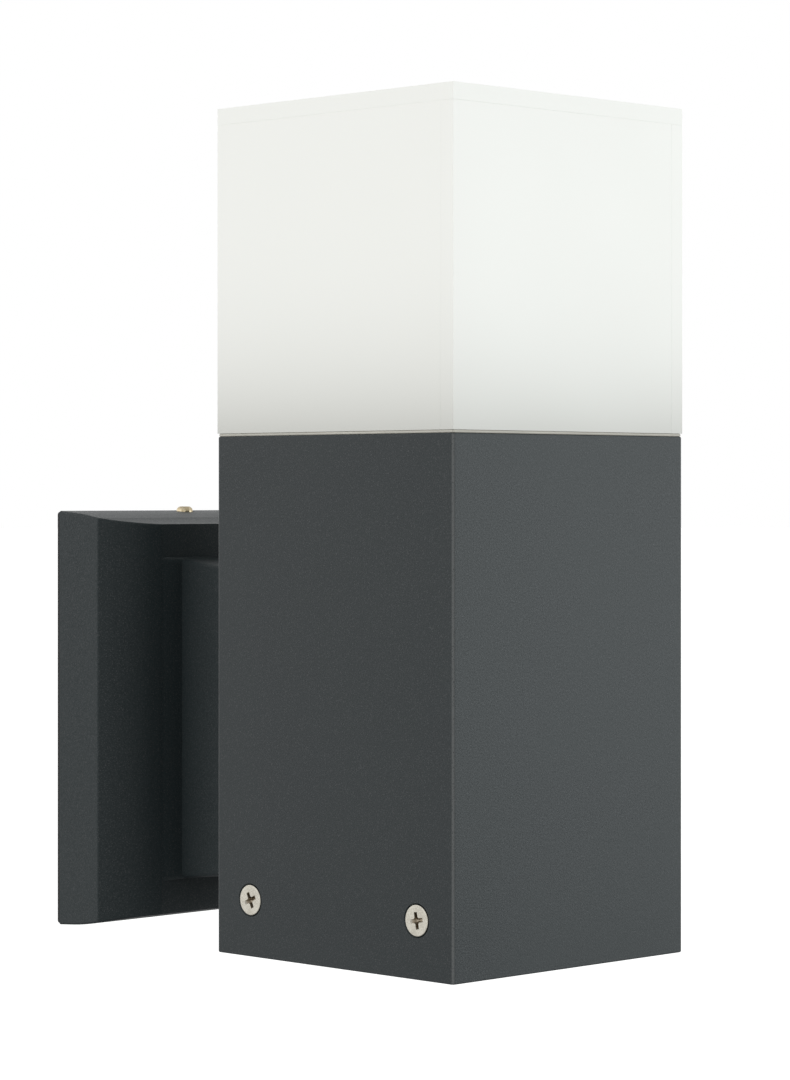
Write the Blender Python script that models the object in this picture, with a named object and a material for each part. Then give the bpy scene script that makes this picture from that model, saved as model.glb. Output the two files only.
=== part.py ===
"""Outdoor wall lantern: a square aluminium body with an opal acrylic shade, held off the wall by a cast bracket.

Run it in Blender 4.5. Lengths are in metres and +Z is up. The wall is the plane Y = 0, the lantern stands
out from it towards -Y, and Z = 0 is half-way up the bracket. Each sub-part is one object, and the parts
that come off or turn hang on an empty at their joint.
"""

import math

import bmesh
import bpy
from mathutils import Matrix, Vector

MM = 0.001
GAP = 0.3 * MM  # clearance left between neighbouring solids
CUT_PAST = 1.0 * MM  # how far a cutter runs past the face it cuts

# Driving dimensions
BODY_WIDTH = 100 * MM
BODY_HEIGHT = 156.8 * MM
BODY_WALL = 2 * MM
SHADE_HEIGHT = 98.5 * MM
SHEET = 5 * MM  # acrylic sheet
SEAL_THICKNESS = 0.6 * MM
WALL_TO_BODY = 77 * MM
BRACKET_CENTRE_TO_BODY_BOTTOM = 67.8 * MM

# Levels and places that follow from them
HALF_BODY = BODY_WIDTH / 2
INNER_HALF = HALF_BODY - BODY_WALL
BODY_Y = -(WALL_TO_BODY + HALF_BODY)
BODY_BOTTOM = -BRACKET_CENTRE_TO_BODY_BOTTOM
BODY_TOP = BODY_BOTTOM + BODY_HEIGHT
SEAL_BOTTOM = BODY_TOP + GAP
SHADE_BOTTOM = SEAL_BOTTOM + SEAL_THICKNESS + GAP
SHADE_TOP = SHADE_BOTTOM + SHADE_HEIGHT

# Screws that hold the bottom tray: M5 countersunk
SIDE_SCREW_RADIUS = 2.5 * MM
SIDE_SCREW_HEAD_RADIUS = 4.6 * MM
SIDE_SCREW_LENGTH = 12 * MM
SIDE_SCREW_FROM_EDGE = 14.7 * MM
SIDE_SCREW_FROM_BOTTOM = 17 * MM

# Bottom tray and lamp bridge, both folded sheet
TRAY_SHEET = 2 * MM
TRAY_RECESS = 4 * MM
TRAY_FLANGE = 26 * MM
TRAY_HALF = INNER_HALF - GAP
TRAY_HALF_DEPTH = 47.4 * MM
TRAY_TOP = BODY_BOTTOM + TRAY_RECESS + TRAY_SHEET
DRAIN_RADIUS = 3 * MM
DRAIN_OFFSET = 36 * MM
BRIDGE_SHEET = 1.5 * MM
BRIDGE_DEPTH = 30 * MM
BRIDGE_HALF = 22 * MM
BRIDGE_FOOT_END = 36 * MM
BRIDGE_FOOT_SCREW_X = 30 * MM
BRIDGE_TOP = 40 * MM
BRIDGE_WIRE_HOLE_RADIUS = 8 * MM

# Lampholder and lamp, E27
HOLDER_BOTTOM = BRIDGE_TOP + GAP
HOLDER_FLOOR = HOLDER_BOTTOM + 12 * MM
HOLDER_TOP = HOLDER_BOTTOM + 46 * MM
HOLDER_BASE_RADIUS = 22 * MM
HOLDER_BORE_RADIUS = 15.4 * MM
HOLDER_SCREW_X = 13 * MM
HOLDER_SCREW_DEPTH = 8 * MM
SHELL_RADIUS = 15 * MM
SHELL_WALL = 0.8 * MM
CONTACT_SPRING_HEIGHT = 4 * MM
CONTACT_SPRING_HALF_SPAN = 7 * MM
CONTACT_SPRING_WIDTH = 5 * MM
CONTACT_SPRING_STRIP = 0.6 * MM
LAMP_BOTTOM = HOLDER_FLOOR + CONTACT_SPRING_STRIP + CONTACT_SPRING_HEIGHT + 2 * GAP
CAP_RADIUS = 13.2 * MM
CAP_WALL = 0.7 * MM
CAP_HEIGHT = 22 * MM
GLOBE_RADIUS = 30 * MM
GLOBE_WALL = 1.2 * MM
GLOBE_CENTRE = LAMP_BOTTOM + 75.4 * MM
GLOBE_MOUTH = LAMP_BOTTOM + 58.7 * MM

# Shade frame: a collar that plugs into the body and into the shade
COLLAR_WALL = 1.5 * MM
COLLAR_HALF_IN_BODY = INNER_HALF - 2 * GAP
COLLAR_HALF_IN_SHADE = HALF_BODY - SHEET - GAP
COLLAR_DEPTH_IN_BODY = 12 * MM
COLLAR_HEIGHT_IN_SHADE = 9 * MM

# Cast wall bracket. Stations run out from the wall: distance from it, half width, half height.
BOX_WALL = 3 * MM
GASKET_THICKNESS = 0.6 * MM
GASKET_WIDTH = 2.4 * MM
GASKET_INSET = 0.3 * MM
BOX_BACK = GASKET_THICKNESS + GAP
BOX_STATIONS = (
    (BOX_BACK, 50.0 * MM, 66.2 * MM),
    (8.0 * MM, 50.0 * MM, 65.7 * MM),
    (13.5 * MM, 50.0 * MM, 65.1 * MM),
    (20.5 * MM, 50.0 * MM, 64.0 * MM),
    (22.8 * MM, 47.0 * MM, 63.4 * MM),
    (25.0 * MM, 43.5 * MM, 62.9 * MM),
    (27.0 * MM, 39.8 * MM, 62.5 * MM),
    (28.7 * MM, 36.0 * MM, 62.2 * MM),
    (30.1 * MM, 32.0 * MM, 62.0 * MM),
)
ARM_STATIONS = (
    (24.0 * MM, 38.0 * MM, 51.8 * MM),
    (30.1 * MM, 31.6 * MM, 51.5 * MM),
    (31.3 * MM, 28.2 * MM, 51.2 * MM),
    (32.2 * MM, 25.0 * MM, 50.9 * MM),
    (WALL_TO_BODY - GAP, 25.0 * MM, 46.1 * MM),
)
DUCT_HALF_WIDTH = 22.5 * MM
DUCT_HALF_HEIGHT = 42 * MM
ARM_END_WALL = 4 * MM

# Screws and holes at the arm's end
ARM_SCREW_Z = 30 * MM
ARM_SCREW_RADIUS = 2.5 * MM
ARM_SCREW_LENGTH = 12 * MM
ARM_BOSS_RADIUS = 7 * MM
ARM_BOSS_LENGTH = 8 * MM
WASHER_RADIUS = 5 * MM
WASHER_THICKNESS = 1 * MM
GROMMET_HOLE_RADIUS = 7 * MM
GROMMET_FLANGE_RADIUS = 9 * MM
GROMMET_BORE_RADIUS = 4 * MM
GROMMET_FLANGE = 1.5 * MM

# Wall strap, screwed to the wall, and the two small screws that lock the bracket on it
STRAP_HALF_WIDTH = 12 * MM
STRAP_SHEET = 2 * MM
STRAP_HALF_HEIGHT = 61.2 * MM
STRAP_TAB = 10 * MM
SLOT_Z = 38 * MM
SLOT_HALF_WIDTH = 2.6 * MM
SLOT_HALF_LENGTH = 7 * MM
LOCK_SCREW_Y = -5 * MM
LOCK_SCREW_RADIUS = 1.5 * MM
LOCK_SCREW_HEAD_RADIUS = 2.75 * MM
LOCK_SCREW_HEAD_HEIGHT = 2.2 * MM
LOCK_SCREW_LENGTH = 7 * MM
LOCK_SCREW_TOP_SEAT = 65.0 * MM
LOCK_SCREW_BOTTOM_SEAT = -63.7 * MM
LOCK_SCREW_SEAT_RADIUS = 3.4 * MM

# Wiring
TERMINAL_X = 29 * MM
TERMINAL_PITCH = 10 * MM
TERMINAL_BLOCK_SIZE = (20 * MM, 13.5 * MM, 32 * MM)
TERMINAL_BLOCK_Y = -14.75 * MM
TERMINAL_BORE_RADIUS = 2.2 * MM
TERMINAL_BRASS_RADIUS = 1.9 * MM
TERMINAL_BRASS_BORE = 1.4 * MM
TERMINAL_SCREW_RADIUS = 1.5 * MM
TERMINAL_PAD_DEPTH = 6 * MM
EARTH_X = -30 * MM
EARTH_Z = -30 * MM
EARTH_PAD_FACE_Y = -20 * MM
EARTH_LUG_RADIUS = 5 * MM
EARTH_LUG_THICKNESS = 1 * MM
LEAD_RADIUS = 1.1 * MM
LEAD_HOLE_RADIUS = 1.6 * MM
LEAD_HOLE_X = 6 * MM
LEAD_POINT_SPACING = 5.5 * MM

# Small pan-head screws that share one shape: M4
M4_RADIUS = 2 * MM
M4_HEAD_RADIUS = 3.8 * MM
M4_HEAD_HEIGHT = 2.6 * MM
CLEARANCE = GAP  # round a screw in its hole

ROUND_SIDES = 24
WIDE_SIDES = 32
SHARP_ANGLE = math.radians(35)

FACE_OUT = {
    "+X": Matrix.Rotation(math.pi / 2, 4, "Y"),
    "-X": Matrix.Rotation(-math.pi / 2, 4, "Y"),
    "+Y": Matrix.Rotation(-math.pi / 2, 4, "X"),
    "-Y": Matrix.Rotation(math.pi / 2, 4, "X"),
    "+Z": Matrix.Identity(4),
    "-Z": Matrix.Rotation(math.pi, 4, "X"),
}


def clear_scene():
    for old in list(bpy.data.objects):
        bpy.data.objects.remove(old, do_unlink=True)


def material(name, colour, roughness, metallic=0.0):
    made = bpy.data.materials.new(name)
    made.use_nodes = True
    shader = made.node_tree.nodes["Principled BSDF"]
    shader.inputs["Base Color"].default_value = (*colour, 1.0)
    shader.inputs["Roughness"].default_value = roughness
    shader.inputs["Metallic"].default_value = metallic
    return made


def finish_object(name, mesh, look, place=Matrix.Identity(4), parent=None):
    """Puts a mesh in the scene at its place in the world, with its material and smooth round faces."""
    mesh.shade_smooth()
    mesh.set_sharp_from_angle(angle=SHARP_ANGLE)
    mesh.materials.append(look)
    made = bpy.data.objects.new(name, mesh)
    bpy.context.scene.collection.objects.link(made)
    made.parent = parent
    base = parent.matrix_world.inverted() if parent else Matrix.Identity(4)
    made.matrix_local = base @ place
    return made


def joint_empty(name, location):
    """An empty on a joint's axis, which the pieces of that moving part hang on."""
    empty = bpy.data.objects.new(name, None)
    bpy.context.scene.collection.objects.link(empty)
    empty.location = location
    bpy.context.view_layer.update()
    return empty


def cut(target, cutter_mesh, place=Matrix.Identity(4), operation="DIFFERENCE"):
    """Adds a Boolean to target. The cutter stays in the scene as a wire guide that doesn't render."""
    cutter = bpy.data.objects.new(f"{target.name}_guide_{len(target.modifiers)}", cutter_mesh)
    bpy.context.scene.collection.objects.link(cutter)
    cutter.matrix_world = place
    cutter.hide_render = True
    cutter.display_type = "WIRE"
    boolean = target.modifiers.new(f"cut_{len(target.modifiers)}", "BOOLEAN")
    boolean.operation = operation
    boolean.object = cutter


def mesh_from(build):
    """Makes a mesh from a bmesh that a function fills, with every face turned outwards."""
    shape = bmesh.new()
    build(shape)
    bmesh.ops.recalc_face_normals(shape, faces=shape.faces)
    mesh = bpy.data.meshes.new("shape")
    shape.to_mesh(mesh)
    shape.free()
    return mesh


def box_mesh(low, high):
    """A box between two corners."""

    def build(shape):
        bmesh.ops.create_cube(shape, size=1)
        size = Vector(high) - Vector(low)
        middle = (Vector(high) + Vector(low)) / 2
        bmesh.ops.transform(
            shape, matrix=Matrix.Translation(middle) @ Matrix.Diagonal((*size, 1)), verts=shape.verts
        )

    return mesh_from(build)


def lofted_mesh(loops):
    """A solid through loops of equally many points, capped at both ends."""

    def build(shape):
        rings = [[shape.verts.new(point) for point in loop] for loop in loops]
        for low, high in zip(rings, rings[1:]):
            bridge(shape, low, high)
        shape.faces.new(rings[0])
        shape.faces.new(rings[-1])

    return mesh_from(build)


def closed_band_mesh(loops):
    """A ring-shaped solid: loops of equally many points, the last joined back to the first."""

    def build(shape):
        rings = [[shape.verts.new(point) for point in loop] for loop in loops]
        for low, high in zip(rings, rings[1:] + rings[:1]):
            bridge(shape, low, high)

    return mesh_from(build)


def bridge(shape, low, high):
    for here in range(len(low)):
        after = (here + 1) % len(low)
        shape.faces.new((low[here], low[after], high[after], high[here]))


def circle(radius, z, sides, offset=0.0):
    """Points round a circle. An offset of half a side keeps a drill's corners off the edges that it meets."""
    turns = [2 * math.pi * (side + offset) / sides for side in range(sides)]
    return [(radius * math.cos(turn), radius * math.sin(turn), z) for turn in turns]


def turned_mesh(profile, sides=ROUND_SIDES):
    """Turns a profile of (radius, height) points about Z. It ends on the axis at both ends, or it is a ring."""
    if profile[0][0] > 0:
        return closed_band_mesh([circle(radius, z, sides) for radius, z in profile])

    def build(shape):
        rings = [[shape.verts.new(p) for p in circle(r, z, sides)] for r, z in profile[1:-1]]
        for low, high in zip(rings, rings[1:]):
            bridge(shape, low, high)
        for ring, (_, z) in ((rings[0], profile[0]), (rings[-1], profile[-1])):
            pole = shape.verts.new((0, 0, z))
            for here in range(sides):
                shape.faces.new((ring[here], ring[(here + 1) % sides], pole))

    return mesh_from(build)


def square(half, z):
    return [(-half, -half, z), (half, -half, z), (half, half, z), (-half, half, z)]


def square_ring_mesh(profile):
    """A square ring whose section is a list of (half width, height) points."""
    return closed_band_mesh([square(half, z) for half, z in profile])


def rounded_square(half, radius, z, steps=3):
    """A square with round corners, as points in order."""
    points = []
    for corner in range(4):
        start = math.pi / 2 * corner
        centre = Vector((half - radius, half - radius, 0))
        centre.rotate(Matrix.Rotation(start, 3, "Z"))
        for step in range(steps + 1):
            turn = start + math.pi / 2 * step / steps
            points.append((centre.x + radius * math.cos(turn), centre.y + radius * math.sin(turn), z))
    return points


def extruded_mesh(outline, low, high, axis):
    """Extrudes a flat outline along X or Y. The outline's points are (Y, Z) for X, and (X, Z) for Y."""
    if axis == "X":
        return lofted_mesh([[(end, a, b) for a, b in outline] for end in (low, high)])
    return lofted_mesh([[(a, end, b) for a, b in outline] for end in (low, high)])


def rod_mesh(radius, low, high, sides=ROUND_SIDES):
    return lofted_mesh([circle(radius, z, sides, 0.5) for z in (low, high)])


def cross_mesh(half_length, half_width, depth, taper):
    """A tapered cross that cuts a screw's driving recess, pointing down from Z = 0."""
    corners = []
    for quarter in range(4):
        turn = Matrix.Rotation(math.pi / 2 * quarter, 2)
        for point in ((half_width, -half_width), (half_length, -half_width), (half_length, half_width)):
            corners.append(turn @ Vector(point))
    levels = ((CUT_PAST, 1.0), (0.0, 1.0), (-depth, taper))
    return lofted_mesh([[(p.x * scale, p.y * scale, z) for p in corners] for z, scale in levels])


def at(x, y, z, facing="+Z", turn=0.0):
    """A place in the world whose own +Z points the way named, turned about that direction."""
    return Matrix.Translation((x, y, z)) @ FACE_OUT[facing] @ Matrix.Rotation(turn, 4, "Z")


# Screws


def countersunk_screw(name, place, look):
    cone = SIDE_SCREW_HEAD_RADIUS - SIDE_SCREW_RADIUS
    profile = (
        (0, 0),
        (SIDE_SCREW_HEAD_RADIUS, 0),
        (SIDE_SCREW_RADIUS, -cone),
        (SIDE_SCREW_RADIUS, -SIDE_SCREW_LENGTH),
        (0, -SIDE_SCREW_LENGTH),
    )
    screw = finish_object(name, turned_mesh(profile), look, place)
    cut(screw, cross_mesh(2.5 * MM, 0.5 * MM, 1.8 * MM, 0.55), place)


def pan_screw(name, place, look, radius, head_radius, head_height, length, recess=True):
    """A pan-head screw. Its own origin is under the head, and +Z points out of the head."""
    profile = (
        (0, head_height),
        (head_radius * 0.62, head_height),
        (head_radius * 0.9, head_height * 0.72),
        (head_radius, head_height * 0.3),
        (head_radius, 0),
        (radius, 0),
        (radius, -length),
        (0, -length),
    )
    screw = finish_object(name, turned_mesh(profile, sides=16), look, place)
    if recess:
        reach = head_radius * 0.58
        top = place @ Matrix.Translation((0, 0, head_height))
        cut(screw, cross_mesh(reach, reach * 0.2, head_height * 0.6, 0.6), top)


def m4_screw(name, place, look, length):
    pan_screw(name, place, look, M4_RADIUS, M4_HEAD_RADIUS, M4_HEAD_HEIGHT, length, recess=False)


# Body


def side_screw_places():
    """Name and place of each screw that holds the bottom tray."""
    offset = HALF_BODY - SIDE_SCREW_FROM_EDGE
    height = BODY_BOTTOM + SIDE_SCREW_FROM_BOTTOM
    turns = {"left_front": 10, "left_rear": 25, "right_front": 37, "right_rear": 62}
    places = {}
    for side, x, facing in (("left", -HALF_BODY, "-X"), ("right", HALF_BODY, "+X")):
        for end, y in (("front", BODY_Y - offset), ("rear", BODY_Y + offset)):
            key = f"{side}_{end}"
            places[f"side_screw_{key}"] = at(x, y, height, facing, math.radians(turns[key]))
    return places


def body_tube(look):
    """The square tube, open at both ends, with its screw holes and the lead hole in its back wall."""
    outer = [rounded_square(HALF_BODY, 1.0 * MM, z) for z in (BODY_BOTTOM, BODY_TOP)]
    inner = [rounded_square(INNER_HALF, 0.4 * MM, z) for z in (BODY_TOP, BODY_BOTTOM)]
    tube = finish_object("body_tube", closed_band_mesh(outer + inner), look, at(0, BODY_Y, 0))
    rim = SIDE_SCREW_HEAD_RADIUS + GAP + CLEARANCE / 2
    depth = BODY_WALL + CUT_PAST
    countersink = (
        (0, CUT_PAST),
        (rim, CUT_PAST),
        (rim, 0),
        (rim - BODY_WALL, -BODY_WALL),
        (rim - BODY_WALL, -depth),
        (0, -depth),
    )
    for place in side_screw_places().values():
        cut(tube, turned_mesh(countersink), place)
    wall_end = BODY_WALL + CUT_PAST
    for height in (-ARM_SCREW_Z, ARM_SCREW_Z):
        hole = rod_mesh(ARM_SCREW_RADIUS + CLEARANCE, -wall_end, CUT_PAST)
        cut(tube, hole, at(0, -WALL_TO_BODY, height, "+Y"))
    cut(tube, rod_mesh(GROMMET_HOLE_RADIUS, -wall_end, CUT_PAST), at(0, -WALL_TO_BODY, 0, "+Y"))


def bottom_tray(look):
    """A folded sheet that closes the bottom and carries the lamp bridge, with the tapped side flanges."""
    low = TRAY_TOP - TRAY_SHEET
    high = TRAY_TOP + TRAY_FLANGE
    inside = TRAY_HALF - TRAY_SHEET
    outline = (
        (-TRAY_HALF, high),
        (-TRAY_HALF, low),
        (TRAY_HALF, low),
        (TRAY_HALF, high),
        (inside, high),
        (inside, TRAY_TOP),
        (-inside, TRAY_TOP),
        (-inside, high),
    )
    mesh = extruded_mesh(outline, BODY_Y - TRAY_HALF_DEPTH, BODY_Y + TRAY_HALF_DEPTH, "Y")
    tray = finish_object("bottom_tray", mesh, look)
    flange_end = BODY_WALL + TRAY_SHEET + CUT_PAST
    for place in side_screw_places().values():
        cut(tray, rod_mesh(SIDE_SCREW_RADIUS + CLEARANCE, -flange_end, 0), place)
    for x in (-BRIDGE_FOOT_SCREW_X, BRIDGE_FOOT_SCREW_X):
        hole = rod_mesh(M4_RADIUS + CLEARANCE, -TRAY_SHEET - CUT_PAST, CUT_PAST)
        cut(tray, hole, at(x, BODY_Y, TRAY_TOP))
    for x in (-DRAIN_OFFSET, DRAIN_OFFSET):
        drain = rod_mesh(DRAIN_RADIUS, -TRAY_SHEET - CUT_PAST, CUT_PAST)
        cut(tray, drain, at(x, BODY_Y - DRAIN_OFFSET, TRAY_TOP))


def side_screws(look):
    for name, place in side_screw_places().items():
        countersunk_screw(name, place, look)


def lamp_bridge(look, screw_look):
    """A folded strip that stands on the tray and carries the lampholder."""
    foot = TRAY_TOP + GAP
    inner = BRIDGE_HALF - BRIDGE_SHEET
    half_outline = (
        (BRIDGE_HALF, BRIDGE_TOP),
        (BRIDGE_HALF, foot + BRIDGE_SHEET),
        (BRIDGE_FOOT_END, foot + BRIDGE_SHEET),
        (BRIDGE_FOOT_END, foot),
        (inner, foot),
        (inner, BRIDGE_TOP - BRIDGE_SHEET),
    )
    outline = half_outline + tuple((-x, z) for x, z in reversed(half_outline))
    mesh = extruded_mesh(outline, BODY_Y - BRIDGE_DEPTH / 2, BODY_Y + BRIDGE_DEPTH / 2, "Y")
    bridge_object = finish_object("lamp_bridge", mesh, look)
    drill = rod_mesh(M4_RADIUS + CLEARANCE, -BRIDGE_SHEET - CUT_PAST, CUT_PAST)
    for x in (-BRIDGE_FOOT_SCREW_X, BRIDGE_FOOT_SCREW_X):
        cut(bridge_object, drill, at(x, BODY_Y, foot + BRIDGE_SHEET))
    for x in (-HOLDER_SCREW_X, HOLDER_SCREW_X):
        cut(bridge_object, drill, at(x, BODY_Y, BRIDGE_TOP))
    wire_hole = rod_mesh(BRIDGE_WIRE_HOLE_RADIUS, -BRIDGE_SHEET - CUT_PAST, CUT_PAST)
    cut(bridge_object, wire_hole, at(0, BODY_Y, BRIDGE_TOP))
    for side, x in (("left", -BRIDGE_FOOT_SCREW_X), ("right", BRIDGE_FOOT_SCREW_X)):
        head_seat = foot + BRIDGE_SHEET + GAP
        m4_screw(f"bridge_screw_{side}", at(x, BODY_Y, head_seat), screw_look, 6 * MM)


# Lampholder


def lampholder(plastic, brass, screw_look):
    rim = HOLDER_TOP - 6 * MM
    profile = (
        (0, HOLDER_BOTTOM),
        (HOLDER_BASE_RADIUS, HOLDER_BOTTOM),
        (HOLDER_BASE_RADIUS, HOLDER_FLOOR),
        (HOLDER_BASE_RADIUS - 2.5 * MM, HOLDER_FLOOR + 2 * MM),
        (HOLDER_BASE_RADIUS - 2.5 * MM, rim),
        (HOLDER_BASE_RADIUS - 1.2 * MM, rim + 1 * MM),
        (HOLDER_BASE_RADIUS - 1.2 * MM, HOLDER_TOP),
        (HOLDER_BORE_RADIUS, HOLDER_TOP),
        (HOLDER_BORE_RADIUS, HOLDER_FLOOR),
        (0, HOLDER_FLOOR),
    )
    holder = finish_object("lampholder_body", turned_mesh(profile, WIDE_SIDES), plastic, at(0, BODY_Y, 0))
    for side in (-1, 1):
        blind = rod_mesh(M4_RADIUS + CLEARANCE, -CUT_PAST, HOLDER_SCREW_DEPTH)
        cut(holder, blind, at(side * HOLDER_SCREW_X, BODY_Y, HOLDER_BOTTOM))
        lead_hole = rod_mesh(LEAD_HOLE_RADIUS, -CUT_PAST, HOLDER_FLOOR - HOLDER_BOTTOM + CUT_PAST, 12)
        cut(holder, lead_hole, at(side * LEAD_HOLE_X, BODY_Y, HOLDER_BOTTOM))
    for side, x in (("left", -HOLDER_SCREW_X), ("right", HOLDER_SCREW_X)):
        seat = BRIDGE_TOP - BRIDGE_SHEET - GAP
        m4_screw(f"lampholder_screw_{side}", at(x, BODY_Y, seat, "-Z"), screw_look, 9 * MM)
    threaded_shell(brass)
    contact_spring(brass)


def threaded_shell(look):
    """The metal sleeve that takes the lamp's cap, with a lip at its foot."""
    low = HOLDER_FLOOR + GAP
    profile = (
        (SHELL_RADIUS, low),
        (SHELL_RADIUS, HOLDER_TOP - 2 * MM),
        (SHELL_RADIUS - SHELL_WALL, HOLDER_TOP - 2 * MM),
        (SHELL_RADIUS - SHELL_WALL, low + SHELL_WALL),
        (SHELL_RADIUS - 5 * MM, low + SHELL_WALL),
        (SHELL_RADIUS - 5 * MM, low),
    )
    finish_object("lampholder_shell", turned_mesh(profile, WIDE_SIDES), look, at(0, BODY_Y, 0))


def contact_spring(look):
    """An arched strip under the lamp's tip."""
    steps = 6
    outer = []
    for step in range(steps + 1):
        along = -1 + 2 * step / steps
        height = CONTACT_SPRING_HEIGHT * math.cos(along * math.pi / 2)
        outer.append((along * CONTACT_SPRING_HALF_SPAN, HOLDER_FLOOR + GAP + CONTACT_SPRING_STRIP + height))
    lowered = [(x, z - CONTACT_SPRING_STRIP) for x, z in reversed(outer)]
    half = CONTACT_SPRING_WIDTH / 2
    mesh = extruded_mesh(outer + lowered, BODY_Y - half, BODY_Y + half, "Y")
    finish_object("centre_contact_spring", mesh, look)


# Lamp


def lamp(parent, metal, insulation, plastic, board_look, glass):
    """An LED lamp in pieces that turn together in the holder."""
    place = at(0, BODY_Y, LAMP_BOTTOM)
    tip = ((0, 0), (3.4 * MM, 0), (4.6 * MM, 0.8 * MM), (4.6 * MM, 1.4 * MM), (0, 1.4 * MM))
    finish_object("lamp_tip_contact", turned_mesh(tip, 16), metal, place, parent)

    ring_low = 1.4 * MM + GAP
    ring = ((0, ring_low), (5 * MM, ring_low), (11.6 * MM, 4.6 * MM), (11.6 * MM, 6 * MM), (0, 6 * MM))
    finish_object("lamp_insulator", turned_mesh(ring), insulation, place, parent)

    cap_low = 5 * MM
    inside = CAP_RADIUS - CAP_WALL
    cap = ((CAP_RADIUS, cap_low), (CAP_RADIUS, cap_low + CAP_HEIGHT), (inside, cap_low + CAP_HEIGHT), (inside, cap_low))
    finish_object("lamp_cap", turned_mesh(cap), metal, place, parent)

    finish_object("lamp_housing", turned_mesh(housing_profile(), WIDE_SIDES), plastic, place, parent)
    board_low = GLOBE_MOUTH - LAMP_BOTTOM - 2.8 * MM
    board = ((0, board_low), (21.8 * MM, board_low), (21.8 * MM, board_low + 1.4 * MM), (0, board_low + 1.4 * MM))
    finish_object("lamp_led_board", turned_mesh(board), board_look, place, parent)
    finish_object("lamp_globe", turned_mesh(globe_profile(), ROUND_SIDES), glass, place, parent)


def housing_profile():
    """The lamp's cup: a neck inside the cap that flares to the globe's mouth, with a ledge for the board."""
    mouth = GLOBE_MOUTH - LAMP_BOTTOM - GAP
    neck = CAP_RADIUS - CAP_WALL - GAP
    shoulder = 5 * MM + CAP_HEIGHT + GAP
    ledge = mouth - 2.8 * MM
    return (
        (0, 8 * MM),
        (neck, 8 * MM),
        (neck, shoulder),
        (14.6 * MM, shoulder),
        (17 * MM, 37 * MM),
        (22 * MM, 50 * MM),
        (24.8 * MM, mouth),
        (23.2 * MM, mouth),
        (22.3 * MM, ledge),
        (20 * MM, ledge),
        (15 * MM, 39 * MM),
        (10.5 * MM, 30 * MM),
        (10.5 * MM, 10 * MM),
        (0, 10 * MM),
    )


def globe_profile():
    """A round diffuser, open at its mouth."""
    centre = GLOBE_CENTRE - LAMP_BOTTOM
    mouth = GLOBE_MOUTH - LAMP_BOTTOM
    steps = 8

    def arc(radius):
        lowest = math.asin((mouth - centre) / radius)
        turns = [lowest + (math.pi / 2 - lowest) * step / steps for step in range(steps + 1)]
        return [(radius * math.cos(turn), centre + radius * math.sin(turn)) for turn in turns]

    outer = arc(GLOBE_RADIUS)
    inner = arc(GLOBE_RADIUS - GLOBE_WALL)
    on_axis = [(0, outer[-1][1])] + outer[-2::-1] + inner[:-1] + [(0, inner[-1][1])]
    return tuple(on_axis)


# Shade


def shade(parent, opal, frame_look, seal_look):
    """Five acrylic sheets, glued edge to face, on a collar that plugs into the body, and the seal under them."""
    low = SHADE_BOTTOM
    high = SHADE_TOP - SHEET - GAP
    far_end = HALF_BODY - SHEET - GAP
    for quarter, side in enumerate(("front", "right", "back", "left")):
        sheet = box_mesh((-HALF_BODY, -HALF_BODY, low), (far_end, -HALF_BODY + SHEET, high))
        turn = Matrix.Rotation(math.pi / 2 * quarter, 4, "Z")
        finish_object(f"shade_sheet_{side}", sheet, opal, at(0, BODY_Y, 0) @ turn, parent)
    top = box_mesh((-HALF_BODY, -HALF_BODY, SHADE_TOP - SHEET), (HALF_BODY, HALF_BODY, SHADE_TOP))
    finish_object("shade_sheet_top", top, opal, at(0, BODY_Y, 0), parent)

    collar_top = SHADE_BOTTOM + COLLAR_HEIGHT_IN_SHADE
    collar = (
        (COLLAR_HALF_IN_BODY, BODY_TOP - COLLAR_DEPTH_IN_BODY),
        (COLLAR_HALF_IN_BODY, BODY_TOP),
        (COLLAR_HALF_IN_SHADE, BODY_TOP),
        (COLLAR_HALF_IN_SHADE, collar_top),
        (COLLAR_HALF_IN_SHADE - COLLAR_WALL, collar_top),
        (COLLAR_HALF_IN_SHADE - COLLAR_WALL, BODY_TOP - COLLAR_WALL),
        (COLLAR_HALF_IN_BODY - COLLAR_WALL, BODY_TOP - COLLAR_WALL),
        (COLLAR_HALF_IN_BODY - COLLAR_WALL, BODY_TOP - COLLAR_DEPTH_IN_BODY),
    )
    finish_object("shade_frame", square_ring_mesh(collar), frame_look, at(0, BODY_Y, 0), parent)

    outside = HALF_BODY - GAP
    inside = COLLAR_HALF_IN_SHADE + GAP
    seal_top = SEAL_BOTTOM + SEAL_THICKNESS
    seal = ((outside, SEAL_BOTTOM), (outside, seal_top), (inside, seal_top), (inside, SEAL_BOTTOM))
    finish_object("shade_seal", square_ring_mesh(seal), seal_look, at(0, BODY_Y, 0), parent)


# Wall bracket


def wall_rectangle(distance, half_width, half_height):
    """A rectangle in a plane parallel to the wall."""
    corners = ((-1, -1), (1, -1), (1, 1), (-1, 1))
    return [(x * half_width, -distance, z * half_height) for x, z in corners]


def wall_casting(look):
    """The hollow box against the wall and its arm, in one casting, open at the wall."""
    outer = lofted_mesh([wall_rectangle(*station) for station in BOX_STATIONS])
    casting = finish_object("wall_bracket", outer, look)
    cut(casting, lofted_mesh([wall_rectangle(*station) for station in ARM_STATIONS]), operation="UNION")
    cut(casting, lofted_mesh([wall_rectangle(*station) for station in cavity_stations()]))
    duct_end = WALL_TO_BODY - GAP - ARM_END_WALL
    duct = ((10 * MM, DUCT_HALF_WIDTH, DUCT_HALF_HEIGHT), (duct_end, DUCT_HALF_WIDTH, DUCT_HALF_HEIGHT))
    cut(casting, lofted_mesh([wall_rectangle(*station) for station in duct]))
    add_casting_pads(casting)
    drill_casting(casting)


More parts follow.
